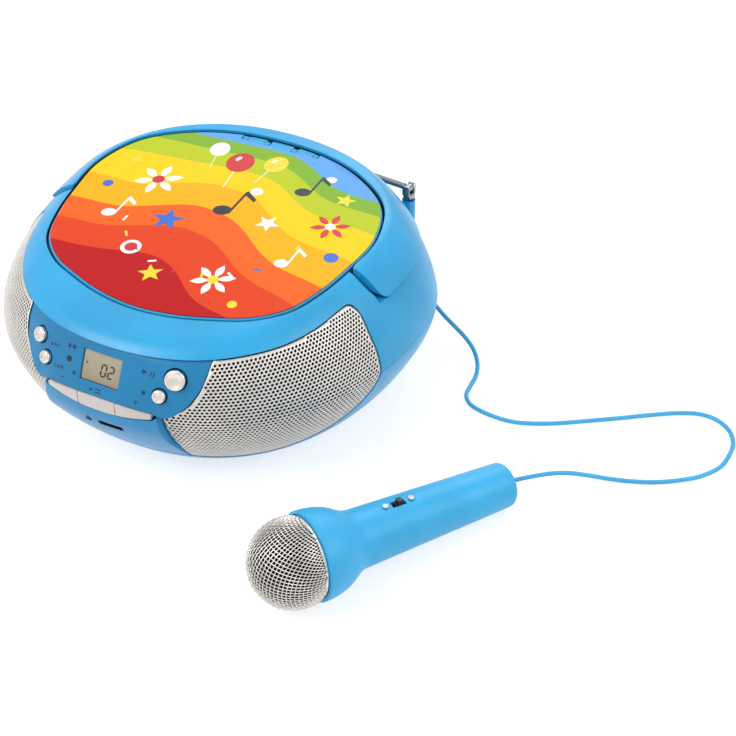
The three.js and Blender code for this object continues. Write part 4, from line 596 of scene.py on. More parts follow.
def lid_outline(outward=0.0, scale=1.0):
    corners = [(0, -1)] + LID_SHARES + [(0, 1)] + [(-x, y) for x, y in reversed(LID_SHARES)]
    points = [Vector((x * LID["width"], y * LID["length"], 0)) for x, y in corners]
    even = offset(spaced(curve_through(points, True, 16), LID_SIDES, True), outward)
    return [p * scale for p in even]


def lid_prism(outward, z0, z1):
    return prism([(p.x, p.y + LID["y"]) for p in lid_outline(outward)], z0, z1)


def shoulder_zone(extra=0.0):
    return box(-FAR, FAR, HANDLE["front"] - HANDLE["front_gap"] - extra, FAR,
               HANDLE["low"] - HANDLE["low_gap"] - extra, FAR)


def pivot_discs(radius, x0, x1):
    y, z = HANDLE["pivot"]
    return [rod_across(x0, x1, y, z, radius), rod_across(-x1, -x0, y, z, radius)]


SEAT = {"wide": 3.9, "lap": 1.5, "deep": 11.5, "gutter": 5.5, "rear": (-48, 48, 83.5, 98.5), "rear_deep": 8.8,
        "ear_deep": 11.3}
RING_LOW = CROWN - math.tan(TILT) * (LID["length"] + LID["y"]) - SEAT["deep"]


def open_window():
    band = cut(body_at(-2), body_at(8))
    return common(fan_through(window_outline()), band)


def hinge_ears():
    made = []
    near, far = HINGE["barrel"]
    for x0, x1 in ((near - GAP - HINGE["ear"], near - GAP), (far + GAP, far + GAP + HINGE["ear"])):
        for a, b in ((x0, x1), (-x1, -x0)):
            foot = box(a, b, HINGE["y"] - HINGE["radius"], HINGE["y"] + HINGE["radius"], -SEAT["ear_deep"],
                       -HINGE["drop"])
            eye = rod_across(a, b, HINGE["y"], -HINGE["drop"], HINGE["radius"])
            made.append(placed(join(foot, eye), LID_FRAME))
    return made


POST = {
    "x": 85, "y": 108.8, "radius": 4.4, "low": 62, "top": 88.6, "root": 16, "step": 2.5, "bore": (2.1, 76.3),
}
POST_FRAME = Matrix.Translation((POST["x"], POST["y"], 0))


def antenna_post():
    """The post that the antenna turns on, and its root in the shell's side."""
    x, y, radius = POST["x"], POST["y"], POST["radius"]
    root = box(x - radius, x, y - POST["root"], y, POST["low"], POST["top"] - POST["step"])
    return [rod(radius, POST["low"], POST["top"], POST_FRAME), root]


def upper_shell():
    shell = cut(body_at(0), body_at(WALL))
    lining = common(cut(body_at(0), body_at(HANDLE["depth"] + WALL)), shoulder_zone(WALL))
    wall_ring = cut(common(lid_prism(LID["gap"] + 2, RING_LOW, FAR), over_crown(SEAT["deep"]), body_at(0)),
                    lid_prism(-SEAT["wide"], 0, FAR))
    bosses = pivot_discs(HANDLE["pocket"] + WALL, HANDLE["pocket_x"] - HANDLE["boss"], HALF_WIDTH)
    bosses = [common(b, body_at(0)) for b in bosses]
    shell = join(shell, lining, wall_ring, *bosses, *antenna_post())
    shell = common(shell, box(-FAR, FAR, -FAR, FAR, WAIST, FAR))
    gutter = common(lid_prism(LID["gap"], RING_LOW, FAR), over_crown(SEAT["gutter"]))
    recess = cut(common(cut(body_at(-2), body_at(HANDLE["depth"])), shoulder_zone()),
                 lid_prism(HANDLE["lid_wall"], 0, FAR))
    pockets = pivot_discs(HANDLE["pocket"], HANDLE["pocket_x"], HALF_WIDTH + 2)
    shell = cut(shell, gutter, recess, *pockets, lid_prism(-SEAT["wide"], 0, FAR), open_window())
    seat = cut(common(lid_prism(-SEAT["lap"], RING_LOW, FAR), over_crown(SEAT["deep"])),
               lid_prism(-SEAT["wide"], 0, FAR), over_crown(LID["edge"] + GAP))
    shell = join(shell, common(seat, body_at(0)))
    rear = common(box(*SEAT["rear"], RING_LOW, FAR), over_crown(SEAT["rear_deep"]),
                  lid_prism(LID["gap"], 0, FAR))
    shell = join(cut(shell, rear), *hinge_ears())
    pins = pivot_discs(HANDLE["pin"] + RUNNING, HANDLE["pin_x"][0] - GAP, HANDLE["pin_x"][1])
    bore, bore_low = POST["bore"]
    return cut(shell, *pins, rod(bore, bore_low, FAR, POST_FRAME))


def handle_band():
    corner = []
    for i in range(13):
        a = math.pi * (1 + i / 24)
        corner.append((HANDLE["front"] + HANDLE["corner"] * (1 + math.cos(a)),
                       HANDLE["low"] + HANDLE["corner"] * (1 + math.sin(a))))
    side = corner + [(FAR, HANDLE["low"]), (FAR, FAR), (HANDLE["front"], FAR)]
    zone = loft([[Vector((x, y, z)) for y, z in side] for x in (-FAR, FAR)])
    band = common(cut(body_at(-HANDLE["proud"]), body_at(HANDLE["depth"] - GAP)), zone)
    clear = HANDLE["pocket_x"] + GAP
    trim = box(-clear, clear, -FAR, HANDLE["pivot"][0] + HANDLE["pocket"], 0, FAR)
    return join(cut(band, lid_prism(LID["gap"], 0, FAR), trim), *pivot_discs(HANDLE["pin"], *HANDLE["pin_x"]))


SCREWS = [(80, 28), (-80, 28)]
FEET = [(58, -50), (-58, -50), (68, 50), (-68, 50)]
JACK = Matrix(((0.84989, 0, 0.52696, 86.13), (-0.52696, 0, 0.84989, 93.29), (0, -1, 0, 30), (0, 0, 0, 1)))
UNDERSIDE = {
    "frame_pad": (-53, 53, 13, 89, BOTTOM, 7.2), "cell_walls": (-47, 47, 18, 74, 4.1, 36),
    "label_pad": (-30, 30, -16, 8, 1.2, 3.4), "door_slide": (-50.3, 50.3, 16, 85.6, 0, 4.4),
    "cells": (-45, 45, 20, 72, 0, 34), "inlet": (-71.3, -48.7, 92, FAR, 24.7, 39.3),
}


def uprights(places, radius, z0, z1, sides=64):
    return [rod(radius, z0, z1, Matrix.Translation((x, y, 0)), sides) for x, y in places]


def lower_shell():
    shell = common(cut(body_at(0), body_at(WALL)), box(-FAR, FAR, -FAR, FAR, -FAR, WAIST - GAP))
    frame_pad = common(box(*UNDERSIDE["frame_pad"]), body_at(0))
    posts = [common(post, body_at(1)) for post in uprights(SCREWS, 4.6, BOTTOM, 55.7, 32)]
    shell = join(shell, frame_pad, box(*UNDERSIDE["cell_walls"]), box(*UNDERSIDE["label_pad"]), *posts,
                 rod(7.5, -13, 1.2, JACK))
    holes = uprights(FEET, 7.3, 0, 3.3) + uprights(SCREWS, 3.3, 0, 5.6, 32) + uprights(SCREWS, 1.8, 0, 50, 24)
    return cut(shell, box(*UNDERSIDE["door_slide"]), box(*UNDERSIDE["cells"]), *holes,
               rod(5.5, -15, 3.2, JACK), box(*UNDERSIDE["inlet"]), open_window())


finish(upper_shell(), "upper_case", "case", look["body"], ["upper_shell"])
finish(lower_shell(), "lower_case", "case", look["body"], ["lower_shell"])
finish(handle_band(), "handle_band", "handle", look["handle"], ["carry_handle"])


# Panel, keys and bezel

def arch(half, side_z, mid_z, steps=24):
    shares = [2 * i / steps - 1 for i in range(steps + 1)]
    return [(half * t, mid_z + (side_z - mid_z) * t * t) for t in shares]


def mirrored(points):
    return [(-x, z) for x, z in reversed(points)]


def smooth_line(points, steps=8):
    return [(p.x, p.y) for p in curve_through([(x, z, 0) for x, z in points], False, steps)]


PANEL_SIDE = smooth_line([(37.9, 66), (43.5, 65.6), (52.5, 71.8), (58, 80), (60.5, 89), (61, 95.8)])
PANEL_OUTLINE = (arch(35.5, 67.9, 69.7) + PANEL_SIDE[:-1] + arch(61, 95.8, 96.6)[::-1]
                 + mirrored(PANEL_SIDE[:-1]))
KEYS_OUTLINE = arch(35, 64.1, 60.4) + arch(35, 66.9, 69.2)[::-1]
BEZEL_SIDE = smooth_line([(44, 22.3), (42.8, 36.4), (40.6, 48.6), (37.9, 64.9)])
BEZEL_OUTLINE = BEZEL_SIDE + arch(35.5, 63.1, 59.9)[::-1] + mirrored(BEZEL_SIDE)


def widened(outline, distance):
    return [(p.x, p.y) for p in offset([Vector((x, z, 0)) for x, z in outline], distance)]


def leaning_face(depth):
    rings = []
    for z in (WAIST - 8, CROWN + 8):
        reach = MID_Y - PANEL["y"] + (PANEL["z"] - z) * PANEL["lean"] - depth
        rings.append(ring(PANEL["width"] - depth, reach, REAR_REACH, lambda y, z=z: z))
    return loft(rings)


def panel_skin(depth):
    """The leaning face, on a body that swells out as far as the keys below it."""
    inset = PANEL["recess"] + depth
    swell = loft([ring(HALF_WIDTH - inset, FRONT_REACH + NOSE["proud"] - inset, REAR_REACH - inset,
                       lambda y, z=z: z) for z in PANEL["swell"]])
    return common(join(body_at(inset), swell), leaning_face(depth))


RIM = {"share": 0.968, "depth": 6, "x": 37.3, "panel_top": 82}


def side_rims(skin, outline, top, rise):
    """The rims that close the step from a proud front piece down to the grilles."""
    inner = [(x * RIM["share"], z + rise) for x, z in outline]
    band = cut(front_prism(outline), front_prism(inner, -FAR - 2, 2 - HALF_WIDTH / 2))
    zones = [box(*ends, -FAR, FAR, 0, top) for ends in ((RIM["x"], FAR), (-FAR, -RIM["x"]))]
    return common(skin, band, join(*zones))


def on_panel(x, z):
    """The frame of a control on the leaning panel: Z points outwards."""
    reach = MID_Y - PANEL["y"] + (PANEL["z"] - z) * PANEL["lean"]
    share = abs(x) / PANEL["width"]
    power = RING_POWER["front"]
    fall = (1 - share ** power) ** (1 / power)
    steep = math.copysign(share ** (power - 1) * fall ** (1 - power), x) if x else 0
    outward = Vector((reach * steep / PANEL["width"], -1, PANEL["lean"] * fall)).normalized()
    turn = Vector((0, 0, 1)).rotation_difference(outward).to_matrix().to_4x4()
    return Matrix.Translation((x, MID_Y - reach * fall, z)) @ turn


BUTTONS = [
    ("button_upper_right", "button_ur", 45.1, 87, 6.2), ("button_lower_right", "button_lr", 37.9, 77.7, 4.1),
    ("button_upper_left", "button_ul", -46.3, 87.2, 4.6), ("button_lower_left", "button_ll", -39.4, 77.8, 4),
]
BUTTON_ROOM = 0.7
DISPLAY = on_panel(0, 84.2)
DISPLAY_HOLE = (-13, 13, -9.2, 9.2, -28, 28)
LED = {"place": (-22.3, 83.4), "hole": 1.8}


def control_panel():
    panel = cut(panel_skin(0), panel_skin(PANEL["wall"]))
    rims = side_rims(cut(panel_skin(0), panel_skin(RIM["depth"])), PANEL_OUTLINE,
                     RIM["panel_top"], 1)
    panel = join(common(panel, front_prism(PANEL_OUTLINE)), rims)
    panel = common(panel, fan_through(window_outline(0.5)))
    holes = [placed(box(*DISPLAY_HOLE), DISPLAY), rod(LED["hole"], -8, 8, on_panel(*LED["place"]), 32)]
    holes += [rod(radius + BUTTON_ROOM, -8, 8, on_panel(x, z)) for _, _, x, z, radius in BUTTONS]
    return cut(panel, *holes)


def nose_skin(depth):
    rings = []
    for i in range(NOSE["rings"], 0, -1):
        z = WAIST - i / NOSE["rings"] * (WAIST - NOSE["from"])
        t = min(1, max(0, (z - NOSE["low"]) / (NOSE["full"] - NOSE["low"])))
        proud = NOSE["proud"] * t * t * (3 - 2 * t)
        rings.append([Vector((p.x, p.y, z)) for p in lower_ring((WAIST - z) / (WAIST - BOTTOM), 0, proud)])
    for z in (WAIST, NOSE["top"]):
        rings.append(ring(HALF_WIDTH, FRONT_REACH + NOSE["proud"], REAR_REACH, lambda y, z=z: z))
    return placed(loft(rings), Matrix.Translation((0, depth, 0)))


SLOT = {"x": 7, "z": 49.5, "wall": (17, 4.6, 1.4), "outer": (16.9, 4.5, 1.35), "inner": (15.7, 3.3, 0.9)}


def rounded_slot(width, height, corner):
    """A long hole through the front lip, with the given radius at its corners."""
    outline = []
    for turn, (sx, sz) in enumerate(((1, 1), (-1, 1), (-1, -1), (1, -1))):
        for i in range(5):
            a = (turn + i / 4) * math.pi / 2
            outline.append((SLOT["x"] + sx * (width / 2 - corner) + corner * math.cos(a),
                            SLOT["z"] + sz * (height / 2 - corner) + corner * math.sin(a)))
    return front_prism(outline)


def bezel():
    skin = common(cut(nose_skin(0), nose_skin(PANEL["wall"])), front_prism(BEZEL_OUTLINE))
    rims = side_rims(cut(nose_skin(0), nose_skin(RIM["depth"])), BEZEL_OUTLINE, WAIST + 8, -1)
    return cut(join(skin, rims), rounded_slot(*SLOT["wall"]))


def slot_frame():
    """The dark edge of the slot in the front lip."""
    tube = cut(rounded_slot(*SLOT["outer"]), rounded_slot(*SLOT["inner"]))
    return common(tube, cut(nose_skin(0.1), nose_skin(PANEL["wall"] - 0.1)))


KEY_DEPTH = 9
KEYS = [
    ("key_left", "key_l", -FAR, -12.95), ("key_middle", "key_m", -12.45, 12.45),
    ("key_right", "key_r", 12.95, FAR),
]


def key(x0, x1):
    bar = common(cut(nose_skin(0), nose_skin(KEY_DEPTH)), front_prism(KEYS_OUTLINE))
    return common(bar, box(x0, x1, -FAR, -HALF_WIDTH / 2, 0, FAR))


finish(control_panel(), "panel_face", "case", look["panel"], ["control_panel"])
finish(bezel(), "front_lip", "case", look["lip"], ["front_bezel"])
finish(slot_frame(), "slot_frame", "case", look["black"])

for name, body_name, x0, x1 in KEYS:
    finish(key(x0, x1), f"{name}_cap", body_name, look["pearl"], [name])

BUTTON_RIM = [(0, -4), (0, 1.5), (0.15, 2.1), (0.5, 2.6), (1, 2.9), (1.5, 3), (1.9, 2.9)]

for name, body_name, x, z, radius in BUTTONS:
    rim = [(radius - inward, height) for inward, height in BUTTON_RIM]
    dish = [(0, -4)] + rim + [(radius * 0.55, 2.35), (radius * 0.3, 2.1), (0, 2.05)]
    made = turned(dish, on_panel(x, z), 64)
    finish(made, f"{name}_cap", body_name, look["button"], [name])


# Perforated grilles

PITCH, HOLE = 2.5, 0.86
SHEET = {
    "recess": 0.4, "thickness": 0.5, "bearing": math.pi / 4, "low": 15, "high": CROWN * 0.955, "step": 0.25,
    "edge": 0.6, "columns": 90, "clear": 1.04,
}


def slant_table():
    """How long the body's profile is, from the lowest point of the window up to each height."""
    steps = int((SHEET["high"] - SHEET["low"]) / SHEET["step"])
    heights = [SHEET["low"] + i * SHEET["step"] for i in range(steps)]
    reach = [0.0]
    points = [skin_point(SHEET["bearing"], z) for z in heights]
    for a, b in zip(points, points[1:]):
        reach.append(reach[-1] + (b - a).length)
    return heights, reach


HEIGHTS, REACH = slant_table()


def between(value, xs, ys):
    k = 0
    for k in range(len(xs) - 1):
        if xs[k + 1] >= value:
            break
    return ys[k] + (ys[k + 1] - ys[k]) * (value - xs[k]) / (xs[k + 1] - xs[k])


def bearing_at(x, z):
    low, high = 0.0, math.pi / 2
    for _ in range(30):
        middle = (low + high) / 2
        if surface_radius(middle, z) * math.sin(middle) < x:
            low = middle
        else:
            high = middle
    return low


def grille_outline():
    """The right grille, laid flat: arc along the body and slant height, anticlockwise."""
    flat = [Vector((a * HALF_WIDTH, between(z, HEIGHTS, REACH), 0)) for a, z in window_outline()]
    drawn_in = offset(flat, -SHEET["edge"])
    right = [(p.x / HALF_WIDTH, between(p.y, REACH, HEIGHTS)) for p in drawn_in if p.x > 0]
    side = widened(PANEL_OUTLINE, 0.8)
    side = [(x, z) for x, z in side if x > 40 and 64 < z < 95.5]
    lip = [(x + 0.8, z) for x, z in BEZEL_SIDE]
    inner = lip[:-3] + [(39.4, 60), (39, 64.2)] + side + [(61.9, 97.5)]
    edge = [(bearing_at(x, z), z) for x, z in inner]
    outer = []
    for a, z in right:
        limit = between(max(edge[0][1], min(edge[-1][1], z)), [e[1] for e in edge], [e[0] for e in edge])
        if a > limit + 0.004:
            outer.append((a, z))
    return [Vector((a * HALF_WIDTH, between(z, HEIGHTS, REACH), 0)) for a, z in outer + edge[::-1]]


def inside(point, outline):
    found = False
    for a, b in zip(outline, outline[1:] + outline[:1]):
        if (a.y > point.y) != (b.y > point.y):
            if point.x < a.x + (b.x - a.x) * (point.y - a.y) / (b.y - a.y):
                found = not found
    return found


def perforated_sheet(outline):
    """A flat sheet of six-sided cells with a round hole in each, and a plain edge out to the outline."""
    bm = bmesh.new()
    corner = PITCH / math.sqrt(3)
    turns = [math.pi * k / 6 for k in range(12)]
    reach = [Vector((math.cos(a), math.sin(a), 0)) * corner * SHEET["clear"] for a in turns]
    row = 0
    while row * PITCH * 0.866 < REACH[-1]:
        for column in range(SHEET["columns"]):
            centre = Vector(((column + (row % 2) / 2) * PITCH, row * PITCH * math.sqrt(3) / 2, 0))
            if all(inside(centre + r, outline) for r in reach):
                bmesh.ops.create_circle(bm, cap_ends=True, segments=6, radius=corner,
                                        matrix=Matrix.Translation(centre))
        row += 1
    bmesh.ops.remove_doubles(bm, verts=bm.verts, dist=0.05)
    bmesh.ops.bisect_edges(bm, edges=bm.edges[:], cuts=1)
    cells = bm.faces[:]
    border = [e for e in bm.edges if e.is_boundary]
    rim = bmesh.ops.create_circle(bm, segments=len(outline), radius=1)["verts"]
    for v, p in zip(rim, outline):
        v.co = p
    rim_edges = list({e for v in rim for e in v.link_edges})
    bmesh.ops.triangle_fill(bm, use_beauty=True, use_dissolve=False, edges=border + rim_edges)
    bmesh.ops.inset_individual(bm, faces=cells, thickness=0.4, use_even_offset=True)
    for cell in cells:
        centre = cell.calc_center_median()
        for v in cell.verts:
            v.co = centre + (v.co - centre).normalized() * HOLE
    bmesh.ops.delete(bm, geom=cells, context="FACES_ONLY")
    return bm


def grille(name, side, node_name):
    bm = perforated_sheet(grille_outline())
    for v in bm.verts:
        bearing, z = v.co.x / HALF_WIDTH, between(v.co.y, REACH, HEIGHTS)
        here = skin_point(bearing, z)
        along = skin_point(bearing + 0.004, z) - here
        upward = skin_point(bearing, z + 0.3) - here
        v.co = here - along.cross(upward).normalized() * SHEET["recess"]
        v.co.x *= side
    bmesh.ops.recalc_face_normals(bm, faces=bm.faces)
    face = max(bm.faces, key=lambda f: f.calc_center_median().x * side)
    outward = face.calc_center_median() - Vector((0, MID_Y, WAIST))
    if face.normal.dot(outward) < 0:
        bmesh.ops.reverse_faces(bm, faces=bm.faces)
    made = object_of(name, bm)
    wall = made.modifiers.new("wall", "SOLIDIFY")
    wall.thickness = SHEET["thickness"] * MM
    wall.offset = -1
    return finish(made, name, "case", look["grille"], [node_name])


grille("grille_right", 1, "right_grille")
grille("grille_left", -1, "left_grille")


# Lid, printed label and motifs

def dome(share):
    return LID["dome"] * (1 - share * share)


def lid_ring(outward, z, scale=1.0):
    return [Vector((p.x, p.y, z)) for p in lid_outline(outward, scale)]


TOP_SHARES = (1, 0.97, 0.9, 0.8, 0.65, 0.5, 0.35, 0.2, 0.05)
UNDER_SHARES = (0.05, 0.3, 0.6, 0.85, 1)
LID_HOOK = (-5, 5, -83, -80.6, -13.5, -1.5)


def lid_top():
    near, far = HINGE["barrel"]
    under = [lid_ring(-LID["rim"], dome(s) - LID["skin"], s) for s in UNDER_SHARES]
    side = [lid_ring(-LID["rim"] + LID["round"], -LID["edge"]), lid_ring(-0.2, -LID["edge"]),
            lid_ring(0, -LID["edge"] + 0.2), lid_ring(0, -LID["round"]), lid_ring(-0.24, -0.24)]
    top = [lid_ring(-LID["round"], dome(s), s) for s in TOP_SHARES]
    plate = loft(under + side + top)
    ear = HINGE["ear"] + HINGE["room"]
    y = HINGE["y"]
    notches, barrels = [], []
    for s in (1, -1):
        for x0, x1 in ((near - ear, near), (far, far + ear)):
            a, b = sorted((s * x0, s * x1))
            notches.append(box(a, b, y - HINGE["radius"] - HINGE["room"], FAR, -FAR, FAR))
        a, b = sorted((s * near, s * far))
        barrels.append(rod_across(a, b, y, -HINGE["drop"], HINGE["radius"]))
    hook = box(*LID_HOOK)
    made = join(cut(plate, *notches), *barrels, hook)
    made = cut(made, rod_across(-30, 30, y, -HINGE["drop"], HINGE["pin"] + RUNNING))
    return placed(made, LID_FRAME)


LABEL = {"lift": 0.3, "thickness": 0.5, "inset": 0.3, "notch": 28.5, "notch_room": 1.2}


def label():
    inset = LABEL["inset"] + LID["round"]
    low = [lid_ring(-inset, LABEL["lift"] + dome(s), s) for s in reversed(TOP_SHARES)]
    top = [lid_ring(-inset, LABEL["lift"] + LABEL["thickness"] + dome(s), s) for s in TOP_SHARES]
    notch = box(-LABEL["notch"], LABEL["notch"], HINGE["y"] - HINGE["radius"] - LABEL["notch_room"], FAR,
                -FAR, FAR)
    return placed(cut(loft(low + top), notch), LID_FRAME)


def star(points, deep):
    return [(math.sin(math.pi * k / points) * (1 if k % 2 == 0 else deep),
             math.cos(math.pi * k / points) * (1 if k % 2 == 0 else deep)) for k in range(2 * points)]


def disc(sides=28):
    return [(math.cos(math.tau * k / sides), math.sin(math.tau * k / sides)) for k in range(sides)]


def oval(width, sides):
    return [(x * width, y) for x, y in disc(sides)]


def bar(half_width):
    return [(-half_width, -1), (half_width, -1), (half_width, 1), (-half_width, 1)]


def petal():
    return [(0.42 * math.sin(math.pi * k / 9), -1 + 2 * k / 9) for k in range(10)] + [
        (-0.42 * math.sin(math.pi * k / 9), 1 - 2 * k / 9) for k in range(1, 9)]


LID_EDGE = lid_outline(-LABEL["inset"] - LID["round"])


def lid_height(x, y):
    """The top of the label at a place on the lid, in the lid's own frame."""
    angle = math.atan2(y, x)
    nearest = min(LID_EDGE, key=lambda p: abs(math.remainder(math.atan2(p.y, p.x) - angle, math.tau)))
    share = min(1, math.hypot(x, y) / math.hypot(nearest.x, nearest.y))
    return LABEL["lift"] + LABEL["thickness"] + dome(share)
FLAG = [(-0.1, 0.25), (1, -0.35), (1, 0.05), (-0.1, 0.75)]
INKS = ["white_ink", "red_ink", "yellow_ink", "blue_ink", "dark_print"]
MOTIFS = []


def motif(shape, x, y, size, turn, ink, lift=0.05):
    MOTIFS.append((shape, x, y, size, math.radians(turn), INKS.index(ink), lift))


def flower(x, y, size, ink, heart):
    for k in range(6):
        a = math.radians(60 * k)
        motif(petal(), x - math.sin(a) * size * 0.62, y + math.cos(a) * size * 0.62, size * 0.44, 60 * k, ink)
    motif(disc(), x, y, size * 0.27, 0, heart, 0.09)


def balloon(x, y, size, ink, lean):
    string_x = x - math.sin(math.radians(-lean)) * size * 1.7
    motif(bar(0.03), string_x, y - size * 1.75, size * 0.9, lean, "white_ink")
    motif(oval(0.82, 28), x, y, size, lean, ink, 0.08)
    motif(oval(0.5, 16), x - size * 0.28, y + size * 0.3, size * 0.26, lean - 20, "white_ink", 0.12)


def note(x, y, size, ink):
    motif(oval(1.25, 20), x, y, size * 0.32, 20, ink)
    motif(bar(0.07), x + size * 0.33, y + size * 0.75, size * 0.8, 0, ink, 0.07)
    motif(FLAG, x + size * 0.37, y + size * 1.2, size * 0.55, 0, ink, 0.09)


def place_motifs():
    flower(-52, 20, 15, "white_ink", "red_ink")
    flower(31, -52, 13, "white_ink", "yellow_ink")
    flower(70, 22, 12, "red_ink", "white_ink")
    balloon(-14, 58, 11, "red_ink", 8)
    balloon(8, 66, 9, "yellow_ink", -6)
    balloon(-34, 66, 8, "white_ink", 14)
    note(38, 46, 13, "dark_print")
    note(-62, -22, 12, "white_ink")
    note(2, 8, 15, "dark_print")
    note(60, -22, 11, "white_ink")
    for x, y, size, turn, ink in ((-24, -14, 11, 12, "blue_ink"), (34, 8, 8, -15, "white_ink"),
                                  (-6, -62, 8, 30, "yellow_ink"), (66, 50, 7, 5, "yellow_ink")):
        motif(star(5, 0.42), x, y, size, turn, ink)
    motif(star(4, 0.36), -78, 34, 6, 0, "yellow_ink")
    for x, y, size, ink, lift in ((-30, -46, 6.5, "white_ink", 0.05), (-30, -46, 4, "red_ink", 0.09),
                                  (84, -4, 4.5, "blue_ink", 0.05), (12, 34, 4, "white_ink", 0.05),
                                  (-80, 4, 3.5, "blue_ink", 0.05), (52, -66, 3, "yellow_ink", 0.05),
                                  (48, 66, 3.4, "white_ink", 0.05)):
        motif(disc(), x, y, size, 0, ink, lift)
    for k, colour in enumerate("white yellow blue white red yellow white blue white yellow".split()):
        a = math.radians(204 + 17 * k)
        motif(bar(0.3), 58 * math.cos(a) + 4, 52 * math.sin(a) - 2, 2.6, 40 * k, f"{colour}_ink")


def print_on_lid():
    """Flat shapes of ink, each standing a hair above the label that it is printed on."""
    place_motifs()
    bm = bmesh.new()
    for shape, x, y, size, turn, ink, lift in MOTIFS:
        rim = bmesh.ops.create_circle(bm, cap_ends=True, segments=len(shape), radius=1)["verts"]
        for v, (px, py) in zip(rim, shape):
            v.co = (x + (px * math.cos(turn) - py * math.sin(turn)) * size,
                    y + (px * math.sin(turn) + py * math.cos(turn)) * size, 0)
        face = rim[0].link_faces[0]
        face.material_index = ink
        made = bmesh.ops.extrude_face_region(bm, geom=[face], use_keep_orig=True)["geom"]
        tops = {v for v in made if isinstance(v, bmesh.types.BMVert)}
        for v in list(rim) + list(tops):
            v.co.z = lid_height(v.co.x, v.co.y) + (lift if v in tops else -0.2)
    bmesh.ops.recalc_face_normals(bm, faces=bm.faces)
    bmesh.ops.transform(bm, matrix=LID_FRAME, verts=bm.verts)
    return object_of("lid_print", bm)


finish(lid_top(), "lid_cover", "lid", look["body"], ["lid"])
finish(label(), "lid_card", "lid", look["label"], ["lid_label"])
finish(print_on_lid(), "lid_print", "lid", [look[k] for k in INKS])


def gutter_painted_shade():
    """A black strip on the gutter's outer wall: painted shade for the deep gap, which shows as a black line
    round the lid.
    """
    def edge(outward, z, lift=0):
        return [LID_FRAME @ Vector((p.x, p.y, z)) + Vector((0, 0, lift)) for p in lid_outline(outward)]

    outer, inner = LID["gap"] - 0.01, LID["gap"] - 0.15
    low, high = -5.2, -0.35
    return cut(loft([edge(outer, low), edge(outer, high)]),
               loft([edge(inner, low, -2), edge(inner, high, 2)]))


# A black strip of painted shade, standing in for the shade in the gap round the lid.
finish(gutter_painted_shade(), "gutter_painted_shade", "case", look["foam_and_shade_black"])


# Display digits, the marks printed beside the controls, and a dot of painted shadow beside the display

def flat_marks(name, frame_matrix, shapes, lift, sink=0.15):
    """Thin flat shapes, each given as its outline in the frame's own X and Y."""
    bm = bmesh.new()
    for outline in shapes:
        rim = bmesh.ops.create_circle(bm, cap_ends=True, segments=len(outline), radius=1)["verts"]
        for v, (x, y) in zip(rim, outline):
            v.co = (x, y, -sink)
        made = bmesh.ops.extrude_face_region(bm, geom=[rim[0].link_faces[0]], use_keep_orig=True)["geom"]
        for v in (g for g in made if isinstance(g, bmesh.types.BMVert)):
            v.co.z = lift
    bmesh.ops.recalc_face_normals(bm, faces=bm.faces)
    bmesh.ops.transform(bm, matrix=frame_matrix, verts=bm.verts)
    return object_of(name, bm)


SEGMENTS = {
    "a": ((0, 1), (1, 1)), "b": ((1, 1), (1, 0.5)), "c": ((1, 0.5), (1, 0)), "d": ((0, 0), (1, 0)),
    "e": ((0, 0), (0, 0.5)), "f": ((0, 0.5), (0, 1)), "g": ((0, 0.5), (1, 0.5)),
}
DIGITS = {"0": "abcdef", "2": "abged"}


def digit(value, x, y, width, height, thick):
    """The lit bars of one seven-bar digit, leaning a little to the right."""
    out = []
    for name in DIGITS[value]:
        (x0, y0), (x1, y1) = SEGMENTS[name]
        a = Vector((x + x0 * width + y0 * height * 0.1, y + y0 * height))
        b = Vector((x + x1 * width + y1 * height * 0.1, y + y1 * height))
        along = (b - a).normalized()
        a, b = a + along * thick * 0.3, b - along * thick * 0.3
        aside = Vector((-along.y, along.x)) * thick / 2
        tip = along * thick / 2
        out.append([tuple(p) for p in (a - tip * 0.6, a + tip - aside, b - tip - aside, b + tip * 0.6,
                                       b - tip + aside, a + tip + aside)])
    return out


def moved(shape, x, y, size):
    return [(x + px * size, y + py * size) for px, py in shape]


arrow = [(-0.8, -0.9), (0.9, 0), (-0.8, 0.9)]
square = [(-0.7, -0.7), (0.7, -0.7), (0.7, 0.7), (-0.7, 0.7)]
upright = [(-0.18, -0.9), (0.18, -0.9), (0.18, 0.9), (-0.18, 0.9)]
level = [(-0.9, -0.18), (0.9, -0.18), (0.9, 0.18), (-0.9, 0.18)]
back_arrow = [(0.8, -0.9), (0.8, 0.9), (-0.9, 0)]

shown = digit("0", -0.5, -4.3, 3.1, 7, 1.05) + digit("2", 4.4, -4.3, 3.1, 7, 1.05)
shown.append(moved(arrow, -10, 1.2, 0.9))
digits = flat_marks("display_digits", DISPLAY @ Matrix.Translation((0, 0, -1.4)), shown, 0.04)
finish(digits, "display_digits", "case", look["digits"])


MARK_SCALE = 1.3
MARKS = [
    (30, 88.6, 1.3, [(arrow, -2.2, 0), (upright, 0.8, 0), (upright, 2.2, 0)]),
    (28.6, 78.2, 1.2, [(square, 0, 0)]),
    (-34.6, 86.6, 1.1, [(arrow, -1.3, 0), (arrow, 0.9, 0), (upright, 2.6, 0)]),
    (-28.6, 76.8, 1.1, [(back_arrow, 1.3, 0), (back_arrow, -0.9, 0), (upright, -2.6, 0)]),
    (-22, 90.2, 1, [(disc(16), -1, 0), (disc(16), 1.6, 0)]),
    (-25, 72.4, 1.1, [(level, 0, 0)]),
    (25, 72.4, 1.1, [(level, 0, 0), (upright, 0, 0)]),
    (0, 72.5, 0.9, [(arrow, -3, 0)]),
    (0, 72.5, 1.6, [(level, 0.6, 0.7), (level, 0.6, -0.7)]),
    # A dark dot of painted shadow, standing in for the shade of the display's recess, left of its lower
    # corner.
    (-17.2, 77.4, 0.9, [(disc(16), 0, 0)]),
]


